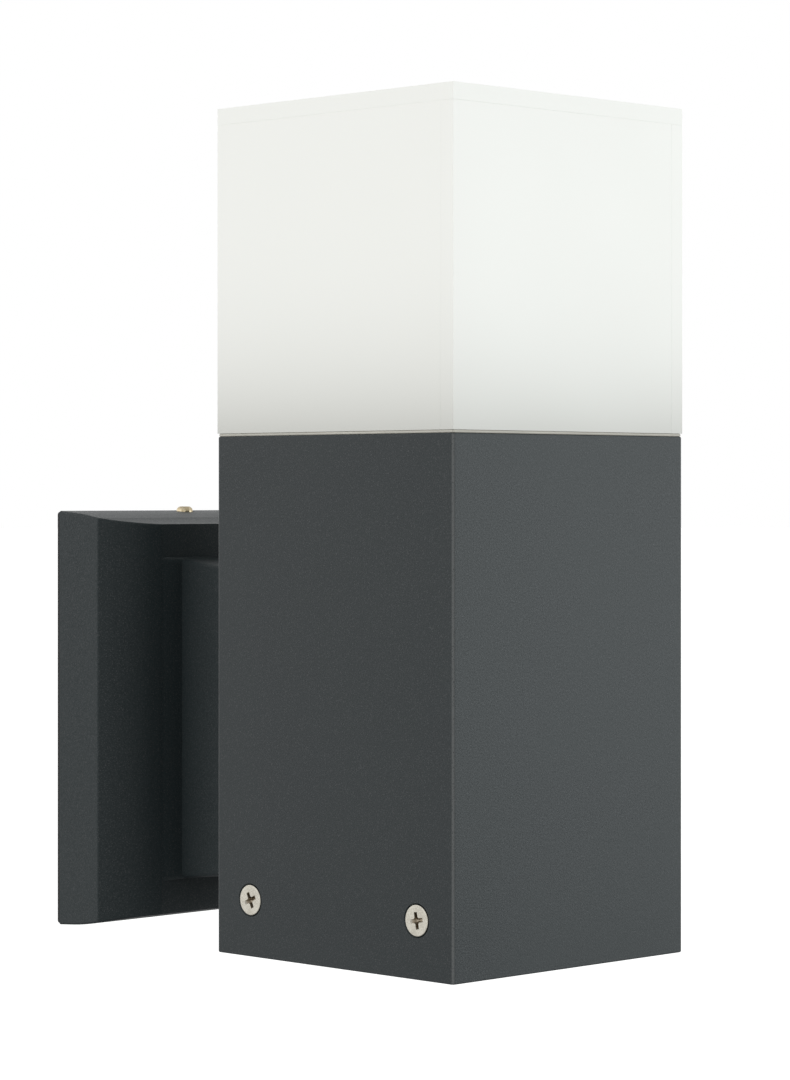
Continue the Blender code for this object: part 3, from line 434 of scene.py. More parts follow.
def powder_coat(name, dark, light, gloss, roughness, grain, painted_corner_highlight=False):
    """Fine-textured metallic powder: orange peel, a salting of flakes, slow changes of tone, and a painted
    highlight on the body's corners if asked for.
    """
    look = Look(name, dark, roughness, Specular_IOR_Level=gloss)
    peel = look.noise(grain, detail=4, roughness=0.6)
    cloud = look.noise(30 * MM, detail=2)
    tone = look.mixed(look.spread(peel, 0.35, 0.65), dark, light)
    tone = look.mixed(look.spread(cloud, 0.3, 0.7, 0.0, 0.25), tone, light)
    flake = look.noise(0.3 * MM, detail=0)
    glint = look.spread(flake, 0.62, 0.76)
    if painted_corner_highlight:
        # Painted highlight: a paler base colour on the body's rounded corners.
        tone = look.mixed(body_corner_highlight_mask(look), tone, CORNER_PAINTED_HIGHLIGHT)
    look.drive("Base Color", look.mixed(glint, tone, FLAKE))
    look.drive("Metallic", look.spread(glint, 0.0, 1.0, 0.04, 0.6))
    look.drive("Roughness", look.spread(peel, 0.3, 0.7, roughness + 0.06, roughness - 0.06))
    look.bump(peel, grain / 12)
    return look.material


def body_corner_highlight_mask(look):
    """1 on the body's four rounded corners, where a highlight is painted, and 0 on its faces."""
    aside = look.combined("ABSOLUTE", look.along("X", look.place))
    forward = look.combined("ABSOLUTE", look.combined("SUBTRACT", look.along("Y", look.place), BODY_Y))
    corner = 2 * HALF_BODY
    return look.spread(look.combined("ADD", aside, forward), corner - 0.78 * MM, corner - 0.6 * MM)


def opal_acrylic(name, foot, fade):
    """Opal sheet, even at the top, with painted shade that greys it towards the dark body that it stands on.
    """
    look = Look(name, OPAL, 0.3)
    height = look.along("Z", look.place)
    # Painted shade: the colour darkens over the sheet's lowest part, towards the body below.
    painted_shade_near_foot = look.combined("POWER", look.spread(height, foot, foot + fade, 1.0, 0.0), 5.0)
    cloud = look.noise(40 * MM, detail=1)
    paler = tuple(min(1.0, channel * 1.008) for channel in OPAL)
    unshaded_opal = look.mixed(look.spread(cloud, 0.3, 0.7), OPAL, paler)
    look.drive("Base Color", look.mixed(painted_shade_near_foot, unshaded_opal, OPAL_PAINTED_SHADE))
    look.drive("Roughness", look.spread(cloud, 0.3, 0.7, 0.28, 0.33))
    look.bump(look.noise(25 * MM, detail=0), 0.01 * MM)
    return look.material


def plated(name, colour, shade, roughness, grain=0.6 * MM, dirt_and_shade_below=None):
    """Plated metal: crystal grain in tone and gloss, faint rubbing, and brown dirt with painted shade below a
    height.
    """
    look = Look(name, colour, roughness, 1.0)
    crystals = look.noise(grain, detail=3)
    blotch = look.noise(grain * 9, detail=3, roughness=0.6)
    tone = look.mixed(look.spread(crystals, 0.3, 0.7), shade, colour)
    tone = look.mixed(look.spread(blotch, 0.45, 0.75, 0.0, 0.6), tone, shade)
    if dirt_and_shade_below is not None:
        # Dirt and painted shade: below the height, down in a screw's recess, the tone turns dark brown.
        recess_dirt_and_shade = look.spread(look.along("Z", look.place), dirt_and_shade_below - 0.5 * MM, dirt_and_shade_below, 1.0, 0.0)
        tone = look.mixed(recess_dirt_and_shade, tone, DIRT_AND_PAINTED_SHADE)
    look.drive("Base Color", tone)
    look.drive("Roughness", look.spread(blotch, 0.3, 0.7, roughness - 0.07, roughness + 0.1))
    look.bump(crystals, 0.012 * MM)
    return look.material


def moulded(name, colour, roughness, grain=0.35 * MM, depth=0.01 * MM, tint=0.93):
    """Moulded plastic or rubber: a fine spark-eroded grain and slow changes of tone."""
    look = Look(name, colour, roughness)
    fine = look.noise(grain, detail=2)
    cloud = look.noise(14 * MM, detail=2)
    darker = tuple(channel * tint for channel in colour)
    look.drive("Base Color", look.mixed(look.spread(cloud, 0.3, 0.7), darker, colour))
    look.drive("Roughness", look.spread(fine, 0.3, 0.7, roughness - 0.05, roughness + 0.08))
    look.bump(fine, depth)
    return look.material


def lead_insulation(name, colour, stripe=None):
    """Lead insulation with a slight extruded grain, and a second colour in a long spiral if it has one."""
    look = Look(name, colour, 0.42)
    grain = look.noise(0.5 * MM, detail=1, stretch=(1, 1, 0.3))
    darker = tuple(channel * 0.8 for channel in colour)
    base = look.mixed(look.spread(grain, 0.3, 0.7), darker, colour)
    if stripe:
        inputs = {"Vector": look.stretched((1, 1.6, 1.3)), "Scale": STRIPE_SCALE}
        wave = look.node("ShaderNodeTexWave", inputs, bands_direction="DIAGONAL")
        base = look.mixed(look.spread(wave.outputs["Fac"], 0.48, 0.52), base, stripe)
    look.drive("Base Color", base)
    look.bump(grain, 0.01 * MM)
    return look.material


SHADE_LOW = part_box("shade_seal")[1].z + JOINT_LINE
OPAL = (0.965, 0.975, 0.93)
# Painted shade at the foot of the opal sheets.
OPAL_PAINTED_SHADE = (0.62, 0.625, 0.585)
COAT = ((0.004, 0.010, 0.0115), (0.010, 0.017, 0.019))
CAST_COAT = ((0.012, 0.019, 0.0205), (0.020, 0.0275, 0.0295))
FLAKE = (0.055, 0.059, 0.061)
# Painted highlight on the body's rounded corners.
CORNER_PAINTED_HIGHLIGHT = (0.105, 0.112, 0.112)
SATIN_NICKEL = ((0.59, 0.572, 0.505), (0.4, 0.375, 0.32))
# Brown dirt and painted shade down in the screws' recesses.
DIRT_AND_PAINTED_SHADE = (0.34, 0.29, 0.22)
CREAM = (0.6, 0.585, 0.52)
STRIPE_SCALE = 75.0

body_coat = powder_coat("anthracite_powder", *COAT, 0.345, 0.38, 0.5 * MM, painted_corner_highlight=True)
cast_coat = powder_coat("anthracite_on_casting", *CAST_COAT, 0.24, 0.48, 0.6 * MM)
opal = opal_acrylic("opal_acrylic", SHADE_LOW, 100 * MM)
seal_silicone = moulded("cream_silicone", CREAM, 0.6, grain=2 * MM, depth=0.1 * MM, tint=0.85)
collar_white = moulded("white_collar", (0.74, 0.74, 0.71), 0.45)
zinc = plated("zinc_plate", (0.66, 0.655, 0.63), (0.52, 0.52, 0.51), 0.34)
# The side screws' recesses get dirt and painted shade.
nickel = plated("satin_nickel", *SATIN_NICKEL, 0.34, 0.45 * MM, dirt_and_shade_below=-0.25 * MM)
yellow_zinc = plated("yellow_zinc", (0.66, 0.58, 0.42), (0.42, 0.33, 0.19), 0.28, grain=0.5 * MM)
brass = plated("bright_brass", (0.78, 0.6, 0.29), (0.66, 0.48, 0.2), 0.28)
lamp_nickel = plated("lamp_cap_nickel", (0.76, 0.74, 0.7), (0.62, 0.6, 0.56), 0.25)
holder_white = moulded("holder_thermoplastic", (0.78, 0.765, 0.71), 0.4)
lamp_white = moulded("lamp_plastic", (0.82, 0.82, 0.8), 0.38)
diffuser = moulded("frosted_diffuser", (0.88, 0.87, 0.84), 0.45, grain=0.2 * MM)
board_white = moulded("circuit_board", (0.8, 0.8, 0.78), 0.42)
insulation_black = moulded("black_insulation", (0.022, 0.021, 0.02), 0.25, tint=0.7)
rubber_black = moulded("black_rubber", (0.018,) * 3, 0.7, grain=0.25 * MM, depth=0.03 * MM, tint=0.7)
brown_pvc = lead_insulation("brown_pvc", (0.17, 0.07, 0.03))
blue_pvc = lead_insulation("blue_pvc", (0.03, 0.13, 0.42))
green_yellow_pvc = lead_insulation("green_yellow_pvc", (0.06, 0.27, 0.05), stripe=(0.72, 0.6, 0.04))


# Body

SIDE_SCREW_HEAD = 4.6 * MM
SIDE_SCREW_SHAFT = 2.5 * MM
SIDE_SCREW_RECESS = (2.5 * MM, 0.62 * MM, 2.0 * MM)  # reach, half width and depth of its cross
SIDE_SCREW_TURNS = {"left_front": 10, "left_rear": 25, "right_front": 37, "right_rear": 62}
GROMMET_HOLE = 7 * MM
DRAIN_OFFSET = 36 * MM
BRIDGE_SHEET = 1.5 * MM


def side_screw_places():
    """Where the screws that hold the bottom tray sit, with +Z out of the body's side."""
    places = {}
    for key, turn in SIDE_SCREW_TURNS.items():
        spot = middle(f"side_screw_{key}")
        side = -1 if key.startswith("left") else 1
        places[key] = at(side * HALF_BODY, spot.y, spot.z, "-X" if side < 0 else "+X", turn)
    return places


def body_tube():
    """The square tube, with its countersinks and the holes in its back wall for arm screws and leads."""
    edge = in_mm((0.35, 0), (0.12, 0.1), (0, 0.35))
    rim = [(inset, BODY_HIGH.z - drop) for inset, drop in edge]
    foot = [(inset, BODY_LOW.z + drop) for inset, drop in edge]
    inner = HALF_BODY - BODY_WALL
    rings = [rounded_square(HALF_BODY - inset, 0.9 * MM, z) for inset, z in rim + foot[::-1]]
    rings += [rounded_square(inner + inset, 0.5 * MM, z) for inset, z in foot + rim[::-1]]
    mesh = moved(band(rings), at(0, BODY_Y, 0))
    cuts = [(countersink(), place, CUT) for place in side_screw_places().values()]
    for z in ARM_SCREW_HEIGHTS:
        cuts.append((rod(M5_HOLE, -BODY_WALL - PAST, PAST), at(0, BODY_BACK, z, "+Y"), CUT))
    cuts.append((rod(GROMMET_HOLE, -BODY_WALL - PAST, PAST), at(0, BODY_BACK, 0, "+Y"), CUT))
    add_piece("body_tube_coated", carve(mesh, cuts), body_coat, ["body_tube"])


def countersink():
    rim = SIDE_SCREW_HEAD + 0.45 * MM
    root = rim - BODY_WALL
    past = -BODY_WALL - PAST
    profile = [(0, PAST), (rim, PAST), (rim, 0), (rim - 0.12 * MM, -0.15 * MM)]
    profile += [(root, -BODY_WALL), (root, past), (0, past)]
    return turned(profile, ease=0)


def side_screws():
    rim = SIDE_SCREW_HEAD - 0.05 * MM
    head = ((0, 0), (rim, 0), (SIDE_SCREW_HEAD, -0.35 * MM), (SIDE_SCREW_SHAFT, -2.2 * MM))
    for key, place in side_screw_places().items():
        mesh = screw_mesh(head, SIDE_SCREW_SHAFT, 9.8 * MM, 0.8 * MM, SIDE_SCREW_RECESS, sides=48)
        node = f"side_screw_{key}"
        add_piece(f"{node}_finish", mesh, nickel, [node], place=place)


def bottom_tray():
    """The folded sheet that closes the bottom, with holes for its screws and two drains."""
    low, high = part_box("bottom_tray")
    sheet = 2 * MM
    floor = low.z + sheet
    inside = high.x - sheet
    outline = [(-high.x, high.z), (-high.x, low.z), (high.x, low.z), (high.x, high.z)]
    outline += [(inside, high.z), (inside, floor), (-inside, floor), (-inside, high.z)]
    mesh = extruded(eased(outline, 0.9 * MM, closed=True), low.y, high.y, "Y")
    cuts = []
    for place in side_screw_places().values():
        cuts.append((rod(M5_HOLE, -BODY_WALL - sheet - PAST, 0), place, CUT))
    for side in ("left", "right"):
        x = middle(f"bridge_screw_{side}").x
        cuts.append((rod(M4_HOLE, -sheet - PAST, PAST), at(x, BODY_Y, floor), CUT))
    for x in (-DRAIN_OFFSET, DRAIN_OFFSET):
        cuts.append((rod(3 * MM, -sheet - PAST, PAST), at(x, BODY_Y - DRAIN_OFFSET, floor), CUT))
    add_piece("bottom_tray_folded", carve(mesh, cuts), zinc, ["bottom_tray"])


def lamp_bridge():
    """The folded strip that stands on the tray and carries the lampholder."""
    low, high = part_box("lamp_bridge")
    sheet = BRIDGE_SHEET
    half = 22 * MM
    inner = half - sheet
    right = [(half, high.z), (half, low.z + sheet), (high.x, low.z + sheet)]
    right += [(high.x, low.z), (inner, low.z), (inner, high.z - sheet)]
    outline = right + [(-x, z) for x, z in reversed(right)]
    mesh = extruded(eased(outline, 0.9 * MM, closed=True), low.y, high.y, "Y")
    cuts = []
    for side in ("left", "right"):
        foot = at(middle(f"bridge_screw_{side}").x, BODY_Y, low.z)
        cuts.append((rod(M4_HOLE, -PAST, sheet + PAST), foot, CUT))
        top = at(middle(f"lampholder_screw_{side}").x, BODY_Y, high.z)
        cuts.append((rod(M4_HOLE, -sheet - PAST, PAST), top, CUT))
    cuts.append((rod(8 * MM, -sheet - PAST, PAST), at(0, BODY_Y, high.z), CUT))
    add_piece("lamp_bridge_folded", carve(mesh, cuts), zinc, ["lamp_bridge"])


def pan_head(radius, height, shaft):
    """The profile of a pan head, from the middle of its top to the shaft."""
    crown = [(0, height), (radius * 0.62, height), (radius * 0.9, height * 0.74)]
    return crown + [(radius, height * 0.32), (radius, 0), (shaft, 0)]


def pan_screw(node, facing, seat, look, sizes, turn):
    """A pan-head screw in place of a packed one.

    Its sizes, in millimetres, are shaft radius, head radius, head height, length and pitch.
    """
    shaft, head_radius, head_height, length, pitch = (size * MM for size in sizes)
    spot = middle(node)
    spot["XYZ".index(facing[1])] = seat
    recess = (head_radius * 0.6, head_radius * 0.12, head_height * 0.62)
    mesh = screw_mesh(pan_head(head_radius, head_height, shaft), shaft, length, pitch, recess)
    add_piece(f"{node}_finish", mesh, look, [node], place=at(*spot, facing, turn))


def inner_screws():
    """The zinc screws that hold the bridge, the lampholder, the arm and the earth lug."""
    m4_head = (2, 3.8, 2.6)
    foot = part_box("lamp_bridge")[0].z + BRIDGE_SHEET + GAP
    under_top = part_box("lamp_bridge")[1].z - BRIDGE_SHEET - GAP
    washer = in_mm((5, 0), (5, 1), (2.8, 1), (2.8, 0))
    washer_seat = BODY_BACK - BODY_WALL - GAP
    arm_seat = washer_seat - GAP - 1 * MM
    lug_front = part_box("earth_lug")[1].y + GAP
    block_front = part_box("terminal_block")[1].y + GAP
    for node, facing, seat, sizes, turn in (
        ("bridge_screw_left", "+Z", foot, (*m4_head, 6, 0.7), 15),
        ("lampholder_screw_left", "-Z", under_top, (*m4_head, 9, 0.7), 15),
        ("bridge_screw_right", "+Z", foot, (*m4_head, 6, 0.7), 50),
        ("lampholder_screw_right", "-Z", under_top, (*m4_head, 9, 0.7), 50),
        ("arm_screw_lower", "-Y", arm_seat, (2.5, 4.2, 3, 12, 0.8), 30),
        ("arm_screw_upper", "-Y", arm_seat, (2.5, 4.2, 3, 12, 0.8), 70),
        ("earth_screw", "+Y", lug_front, (*m4_head, 5, 0.7), 20),
        ("terminal_block_screw", "+Y", block_front, (1.5, 2.4, 1.6, 16.5, 0.5), 35),
    ):
        pan_screw(node, facing, seat, zinc, sizes, turn)
    for node in ("arm_washer_lower", "arm_washer_upper"):
        place = at(0, washer_seat, middle(node).z, "-Y")
        add_piece(f"{node}_finish", turned(washer), zinc, [node], place=place)


# Lampholder and lamp

E27_PITCH = 3.6 * MM
LEAD_HOLE_X = 6 * MM


def thread_band(outer, inner, depth, low, high, sides=64):
    """A thin sleeve with a rolled thread, the same wave inside and outside."""
    rows = max(8, round((high - low) / (E27_PITCH / 10)))
    levels = [low + (high - low) * row / rows for row in range(rows + 1)]
    outside = [helix_points(outer, depth, E27_PITCH, z, sides) for z in levels]
    inside = [helix_points(inner, depth, E27_PITCH, z, sides) for z in reversed(levels)]
    return band(outside + inside)


def lampholder():
    """The ribbed moulding, with its threaded shell and the sprung contact in its floor."""
    low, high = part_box("lampholder_body")
    base = (high.x - low.x) / 2
    floor = low.z + 12 * MM
    neck = base - 2.5 * MM
    groove = neck - 0.7 * MM
    rim = base - 1.2 * MM
    mouth = 15.4 * MM
    profile = [(0, low.z), (base, low.z), (base, floor), (neck, floor + 2 * MM)]
    for ring in range(3):
        z = floor + (6 + 4 * ring) * MM
        profile += [(neck, z), (groove, z + 0.7 * MM), (groove, z + 1.6 * MM), (neck, z + 2.3 * MM)]
    profile += [(neck, high.z - 6 * MM), (rim, high.z - 5 * MM), (rim, high.z)]
    profile += [(mouth, high.z), (mouth, floor), (0, floor)]
    mesh = moved(turned(profile, 64, 0.4 * MM), at(0, BODY_Y, 0))
    cuts = []
    for side in ("left", "right"):
        x = middle(f"lampholder_screw_{side}").x
        cuts.append((rod(M4_HOLE, -PAST, 8 * MM), at(x, BODY_Y, low.z), CUT))
    for x in (-LEAD_HOLE_X, LEAD_HOLE_X):
        cuts.append((rod(1.6 * MM, -PAST, 13 * MM, 16), at(x, BODY_Y, low.z), CUT))
    add_piece("lampholder_moulding", carve(mesh, cuts), holder_white, ["lampholder_body"])

    low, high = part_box("lampholder_shell")
    shell = thread_band(15 * MM, 14.5 * MM, 0.5 * MM, low.z, high.z)
    place = at(0, BODY_Y, 0)
    add_piece("lampholder_thread", shell, brass, ["lampholder_shell"], place=place)
    contact_strip()


def contact_strip():
    """The arched strip under the lamp's tip."""
    low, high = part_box("centre_contact_spring")
    thickness = 0.6 * MM
    steps = 16
    arch = []
    for step in range(steps + 1):
        along = -1 + 2 * step / steps
        rise = (high.z - low.z - thickness) * math.cos(along * math.pi / 2)
        arch.append((along * high.x, low.z + thickness + rise))
    under = [(x, z - thickness) for x, z in reversed(arch)]
    mesh = softened(extruded(arch + under, low.y, high.y, "Y"), 0.12 * MM)
    add_piece("centre_contact_strip", mesh, brass, ["centre_contact_spring"])


def lamp():
    """The lamp, in pieces turned about its own axis, with heights measured from its tip."""
    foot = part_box("lamp_tip_contact")[0].z
    place = at(0, BODY_Y, foot)

    def turn(name, node, profile, look, slot, ease=0.25 * MM):
        add_piece(name, turned(profile, 64, ease), look, [node], "lamp", place)

    tip = in_mm((0, 0), (3.4, 0), (4.6, 0.8), (4.6, 1.4), (0, 1.4))
    turn("lamp_tip_soldered", "lamp_tip_contact", tip, lamp_nickel, "lamp_metal")
    ring = in_mm((0, 1.6), (5, 1.6), (12.2, 4.8), (12.2, 6), (0, 6))
    turn("lamp_insulator_glass", "lamp_insulator", ring, insulation_black, "lamp_insulation")

    cap_low, cap_high = (edge.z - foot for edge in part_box("lamp_cap"))
    thread = thread_band(13.2 * MM, 12.75 * MM, 0.9 * MM, cap_low, cap_high - 3 * MM)
    skirt = cap_high / MM
    collar = in_mm((13.2, skirt - 3.1), (13.2, skirt), (12.6, skirt), (12.4, skirt - 3.1))
    cap = joined([thread, turned(collar, 64)])
    add_piece("lamp_cap_threaded", cap, lamp_nickel, ["lamp_cap"], "lamp", place)

    mouth = (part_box("lamp_housing")[1].z - foot) / MM
    ledge = mouth - 2.8
    shoulder = skirt + 0.1
    outside = in_mm((0, 8), (12, 8), (12, shoulder), (14.2, shoulder), (14.7, shoulder + 3), (17, 37))
    lip = in_mm((22, 50), (24.8, mouth), (23.2, mouth), (22.3, ledge), (20, ledge))
    inside = in_mm((15, 39), (10.5, 30), (10.5, 10), (0, 10))
    housing = outside + lip + inside
    turn("lamp_housing_moulding", "lamp_housing", housing, lamp_white, "lamp_plastic", 2.5 * MM)
    led_board(place, foot)
    globe(place, foot)


def led_board(place, foot):
    """The lamp's board with its ring of light-emitting chips."""
    low, high = (edge.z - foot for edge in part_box("lamp_led_board"))
    board_top = high - 0.4 * MM
    radius = 21.8 * MM
    disc = turned(((0, low), (radius, low), (radius, board_top), (0, board_top)), 64)
    add_piece("lamp_board", disc, board_white, ["lamp_led_board"], "lamp", place)
    chips = []
    count = 10
    for number in range(count):
        turn = Matrix.Rotation(2 * math.pi * number / count, 4, "Z")
        chip = box((14 * MM, -1.4 * MM, board_top + 0.02 * MM), (17 * MM, 1.4 * MM, high), 0.1 * MM)
        chips.append(moved(chip, turn))
    chip_look = moulded("chip_phosphor", (0.78, 0.62, 0.12), 0.35)
    add_piece("lamp_board_chips", joined(chips), chip_look, body="lamp", place=place)


def globe(place, foot):
    """The lamp's round diffuser, open at its mouth."""
    low, high = (edge.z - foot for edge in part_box("lamp_globe"))
    outer = 30 * MM
    centre = high - outer
    steps = 24

    def arc(radius):
        lowest = math.asin((low - centre) / radius)
        turns = [lowest + (math.pi / 2 - lowest) * step / steps for step in range(steps + 1)]
        return [(radius * math.cos(turn), centre + radius * math.sin(turn)) for turn in turns]

    outside = arc(outer)
    inside = arc(outer - 1.2 * MM)
    profile = [(0, outside[-1][1])] + outside[-2::-1] + inside[:-1] + [(0, inside[-1][1])]
    mesh = turned(profile, 72, 0.1 * MM)
    add_piece("lamp_globe_frosted", mesh, diffuser, ["lamp_globe"], "lamp", place)


# Shade

SHEET_EDGE = 0.04 * MM  # rounding of the acrylic's edges
COLLAR_WALL = 1.5 * MM


def shade():
    """Five opal sheets glued edge to face, the collar that plugs into the body, and the seal."""
    top_low, top_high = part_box("shade_sheet_top")
    sheet = top_high.z - top_low.z
    near = (-HALF_BODY, -HALF_BODY, SHADE_LOW)
    far = (HALF_BODY - sheet - JOINT_LINE, -HALF_BODY + sheet, top_low.z - JOINT_LINE)
    for quarter, side in enumerate(("front", "right", "back", "left")):
        mesh = box(near, far, SHEET_EDGE, 3)
        place = at(0, BODY_Y, 0, turn=90 * quarter)
        add_piece(f"shade_{side}_opal", mesh, opal, [f"shade_sheet_{side}"], "shade", place)
    mesh = box((-HALF_BODY, -HALF_BODY, top_low.z), (HALF_BODY, HALF_BODY, top_high.z), SHEET_EDGE, 3)
    place = at(0, BODY_Y, 0)
    add_piece("shade_top_opal", mesh, opal, ["shade_sheet_top"], "shade", place)

    low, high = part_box("shade_frame")
    in_body = (high.x - low.x) / 2
    in_shade = HALF_BODY - sheet - GAP
    step = BODY_HIGH.z
    under_step = step - COLLAR_WALL
    outside = [(in_body, low.z), (in_body, step), (in_shade, step), (in_shade, high.z)]
    levels = (high.z, under_step, under_step, low.z)
    halves = (in_shade, in_shade, in_body, in_body)
    inside = [(half - COLLAR_WALL, z) for half, z in zip(halves, levels)]
    collar = square_ring(outside + inside, 0.3 * MM)
    add_piece("shade_collar_moulding", collar, collar_white, ["shade_frame"], "shade", place)

    low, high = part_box("shade_seal")
    outer = high.x
    inner = in_shade + GAP
    foot = low.z - GAP + JOINT_LINE
    head = SHADE_LOW - JOINT_LINE
    bulge = (outer + 0.2 * MM, (foot + head) / 2)
    seal = square_ring([(outer, foot), bulge, (outer, head), (inner, head), (inner, foot)], 0.2 * MM)
    add_piece("shade_seal_silicone", seal, seal_silicone, ["shade_seal"], "shade", place)


def square_ring(profile, ease):
    """A square ring with round corners, whose section is a closed profile of (half width, height)."""
    return band([rounded_square(half, 0.8 * MM, z, 4) for half, z in eased(profile, ease, closed=True)])


# Wall bracket: stations run out from the wall, as distance from it, half width and half height in millimetres

BOX_STATIONS = (
    (0.9, 50.0, 66.2),
    (8.0, 50.0, 65.7),
    (13.5, 50.0, 65.1),
    (20.5, 50.0, 64.0),
    (22.8, 47.0, 63.4),
    (25.0, 43.5, 62.9),
    (27.0, 39.8, 62.5),
    (28.7, 36.0, 62.2),
    (30.1, 32.0, 62.0),
)
ARM_ROOT_STATIONS = (
    (24.0, 38.0, 51.8),
    (28.7, 35.0, 51.6),
    (30.0, 32.0, 51.5),
    (31.3, 28.2, 51.2),
    (32.2, 25.0, 50.9),
)
ARM_END = (-BODY_BACK - GAP) / MM
ARM_END_STATION = (ARM_END, 25.0, 46.1)
BOX_WALL = 3.0
SIDE_BAND_STATIONS = 4  # the first stations, which run straight to the crisp edge
BOX_EDGE = 0.8  # rounding of the edges of the box, the arm and the hollow
ARM_EDGE = 1.4
INNER_EDGE = 1.5
LOCK_SCREW_HEAD = 2.2 * MM
LOCK_TOP_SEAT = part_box("lock_screw_top")[1].z - LOCK_SCREW_HEAD - GAP
LOCK_BOTTOM_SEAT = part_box("lock_screw_bottom")[0].z + LOCK_SCREW_HEAD + GAP


def station_loop(station, radius):
    """A rectangle with round corners, in a plane parallel to the wall."""
    distance, half_width, half_height = station
    outline = rounded_rectangle(half_width * MM, half_height * MM, radius * MM, 4)
    return [(x, -distance * MM, z) for x, z in outline]


def casting_outside():
    """The box, with a crisp edge where its side band meets the curved shoulder."""
    side_band = smooth_curve(BOX_STATIONS[:SIDE_BAND_STATIONS], 3)
    shoulder = smooth_curve(BOX_STATIONS[SIDE_BAND_STATIONS - 1 :], 4)
    crisp_edge = eased((side_band[-2], side_band[-1], shoulder[1]), 0.7, steps=4)[1:-1]
    (back, half_width, half_height), *rest = side_band[:-1] + crisp_edge + shoulder[1:]
    front, front_width, front_height = rest[-1]
    loops = [
        station_loop((back, half_width - 0.4, half_height - 0.4), BOX_EDGE),
        station_loop((back + 0.4, half_width, half_height), BOX_EDGE),
    ]
    loops += [station_loop(station, BOX_EDGE) for station in rest]
    loops.append(station_loop((front + 0.02, front_width - 0.4, front_height - 0.6), BOX_EDGE))
    return loft(loops)


def casting_arm():
    loops = [station_loop(station, ARM_EDGE) for station in smooth_curve(ARM_ROOT_STATIONS, 3)]
    distance, half_width, half_height = ARM_END_STATION
    loops.append(station_loop((distance - 0.4, half_width, half_height), ARM_EDGE))
    loops.append(station_loop((distance, half_width - 0.4, half_height - 0.4), ARM_EDGE))
    return loft(loops)


def casting_cavity():
    hollow = [(-PAST / MM, BOX_STATIONS[0][1] - BOX_WALL, BOX_STATIONS[0][2] - BOX_WALL)]
    for distance, half_width, half_height in smooth_curve(BOX_STATIONS, 3)[1:]:
        hollow.append((distance - BOX_WALL, half_width - BOX_WALL, half_height - BOX_WALL))
    hollow = [station for station in hollow if station[0] < 0 or station[0] > 1.0]
    return loft([station_loop(station, INNER_EDGE) for station in hollow])


def wall_bracket():
    """The box and its arm in one hollow casting, open at the wall."""
    duct = [station_loop((distance, 22.5, 42.0), INNER_EDGE) for distance in (10.0, ARM_END - 4.0)]
    cuts = [(casting_arm(), HERE, JOIN), (casting_cavity(), HERE, CUT), (loft(duct), HERE, CUT)]
    mesh = carve(casting_outside(), cuts + casting_pads() + casting_holes())
    add_piece("wall_bracket_casting", mesh, cast_coat, ["wall_bracket"], sharp=18)


def terminal_pad_face():
    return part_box("terminal_block")[0].y - GAP


def earth_pad(facing):
    spot = middle("earth_lug")
    return at(spot.x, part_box("earth_lug")[0].y - GAP, spot.z, facing)


def casting_pads():
    """Pads for the terminal block and the earth lug, and the drilled bosses in the arm's end."""
    face = terminal_pad_face()
    x = middle("terminal_block").x
    pad = box((x - 3.9 * MM, face - 6 * MM, -6.4 * MM), (x + 3.9 * MM, face, 6.4 * MM), 0)
    cuts = [(pad, HERE, JOIN), (rod(5 * MM, 0, 7 * MM), earth_pad("-Y"), JOIN)]
    boss_root = -(ARM_END - 2) * MM
    for z in ARM_SCREW_HEIGHTS:
        cuts.append((rod(7 * MM, 0, 8 * MM, 40), at(0, boss_root, z, "+Y"), JOIN))
        cuts.append((rod(M5_HOLE, -PAST, 13 * MM), at(0, BODY_BACK, z, "+Y"), CUT))
    return cuts


def casting_holes():
    """The way for the leads, the lock screws' seats and holes, and the holes in the two pads."""
    cuts = [(rod(10 * MM, -PAST, 5 * MM, 40), at(0, BODY_BACK, 0, "+Y"), CUT)]
    screw_y = middle("lock_screw_top").y
    for z, facing in ((LOCK_TOP_SEAT, "+Z"), (LOCK_BOTTOM_SEAT, "-Z")):
        cuts.append((rod(3.3 * MM, 0, 3 * MM, 40), at(0, screw_y, z, facing), CUT))
        cuts.append((rod(M3_HOLE, -4 * MM, PAST, 24), at(0, screw_y, z, facing), CUT))
    screw_z = middle("terminal_block_screw").z
    pad_hole = at(middle("terminal_block").x, terminal_pad_face(), screw_z, "+Y")
    cuts.append((rod(M3_HOLE, -4 * MM, PAST, 24), pad_hole, CUT))
    cuts.append((rod(M4_HOLE, -5 * MM, PAST, 24), earth_pad("+Y"), CUT))
    return cuts


def lock_screws():
    sizes = (1.5, 2.75, LOCK_SCREW_HEAD / MM, 7, 0.5)
    pan_screw("lock_screw_top", "+Z", LOCK_TOP_SEAT + GAP, yellow_zinc, sizes, 20)
    pan_screw("lock_screw_bottom", "-Z", LOCK_BOTTOM_SEAT - GAP, yellow_zinc, sizes, 55)


def wall_gasket():
    low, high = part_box("wall_gasket")
    thickness = high.y - low.y + GAP - JOINT_LINE
    width = 2.4 * MM
    loops = []
    section = ((0, 0), (0, thickness), (width, thickness), (width, 0))
    for inset, distance in eased(section, 0.2 * MM, closed=True):
        outline = rounded_rectangle(high.x - inset, high.z - inset, max(0.4 * MM, 1.0 * MM - inset), 6)
        loops.append([(x, -distance, z) for x, z in outline])
    add_piece("wall_gasket_rubber", band(loops), rubber_black, ["wall_gasket"])


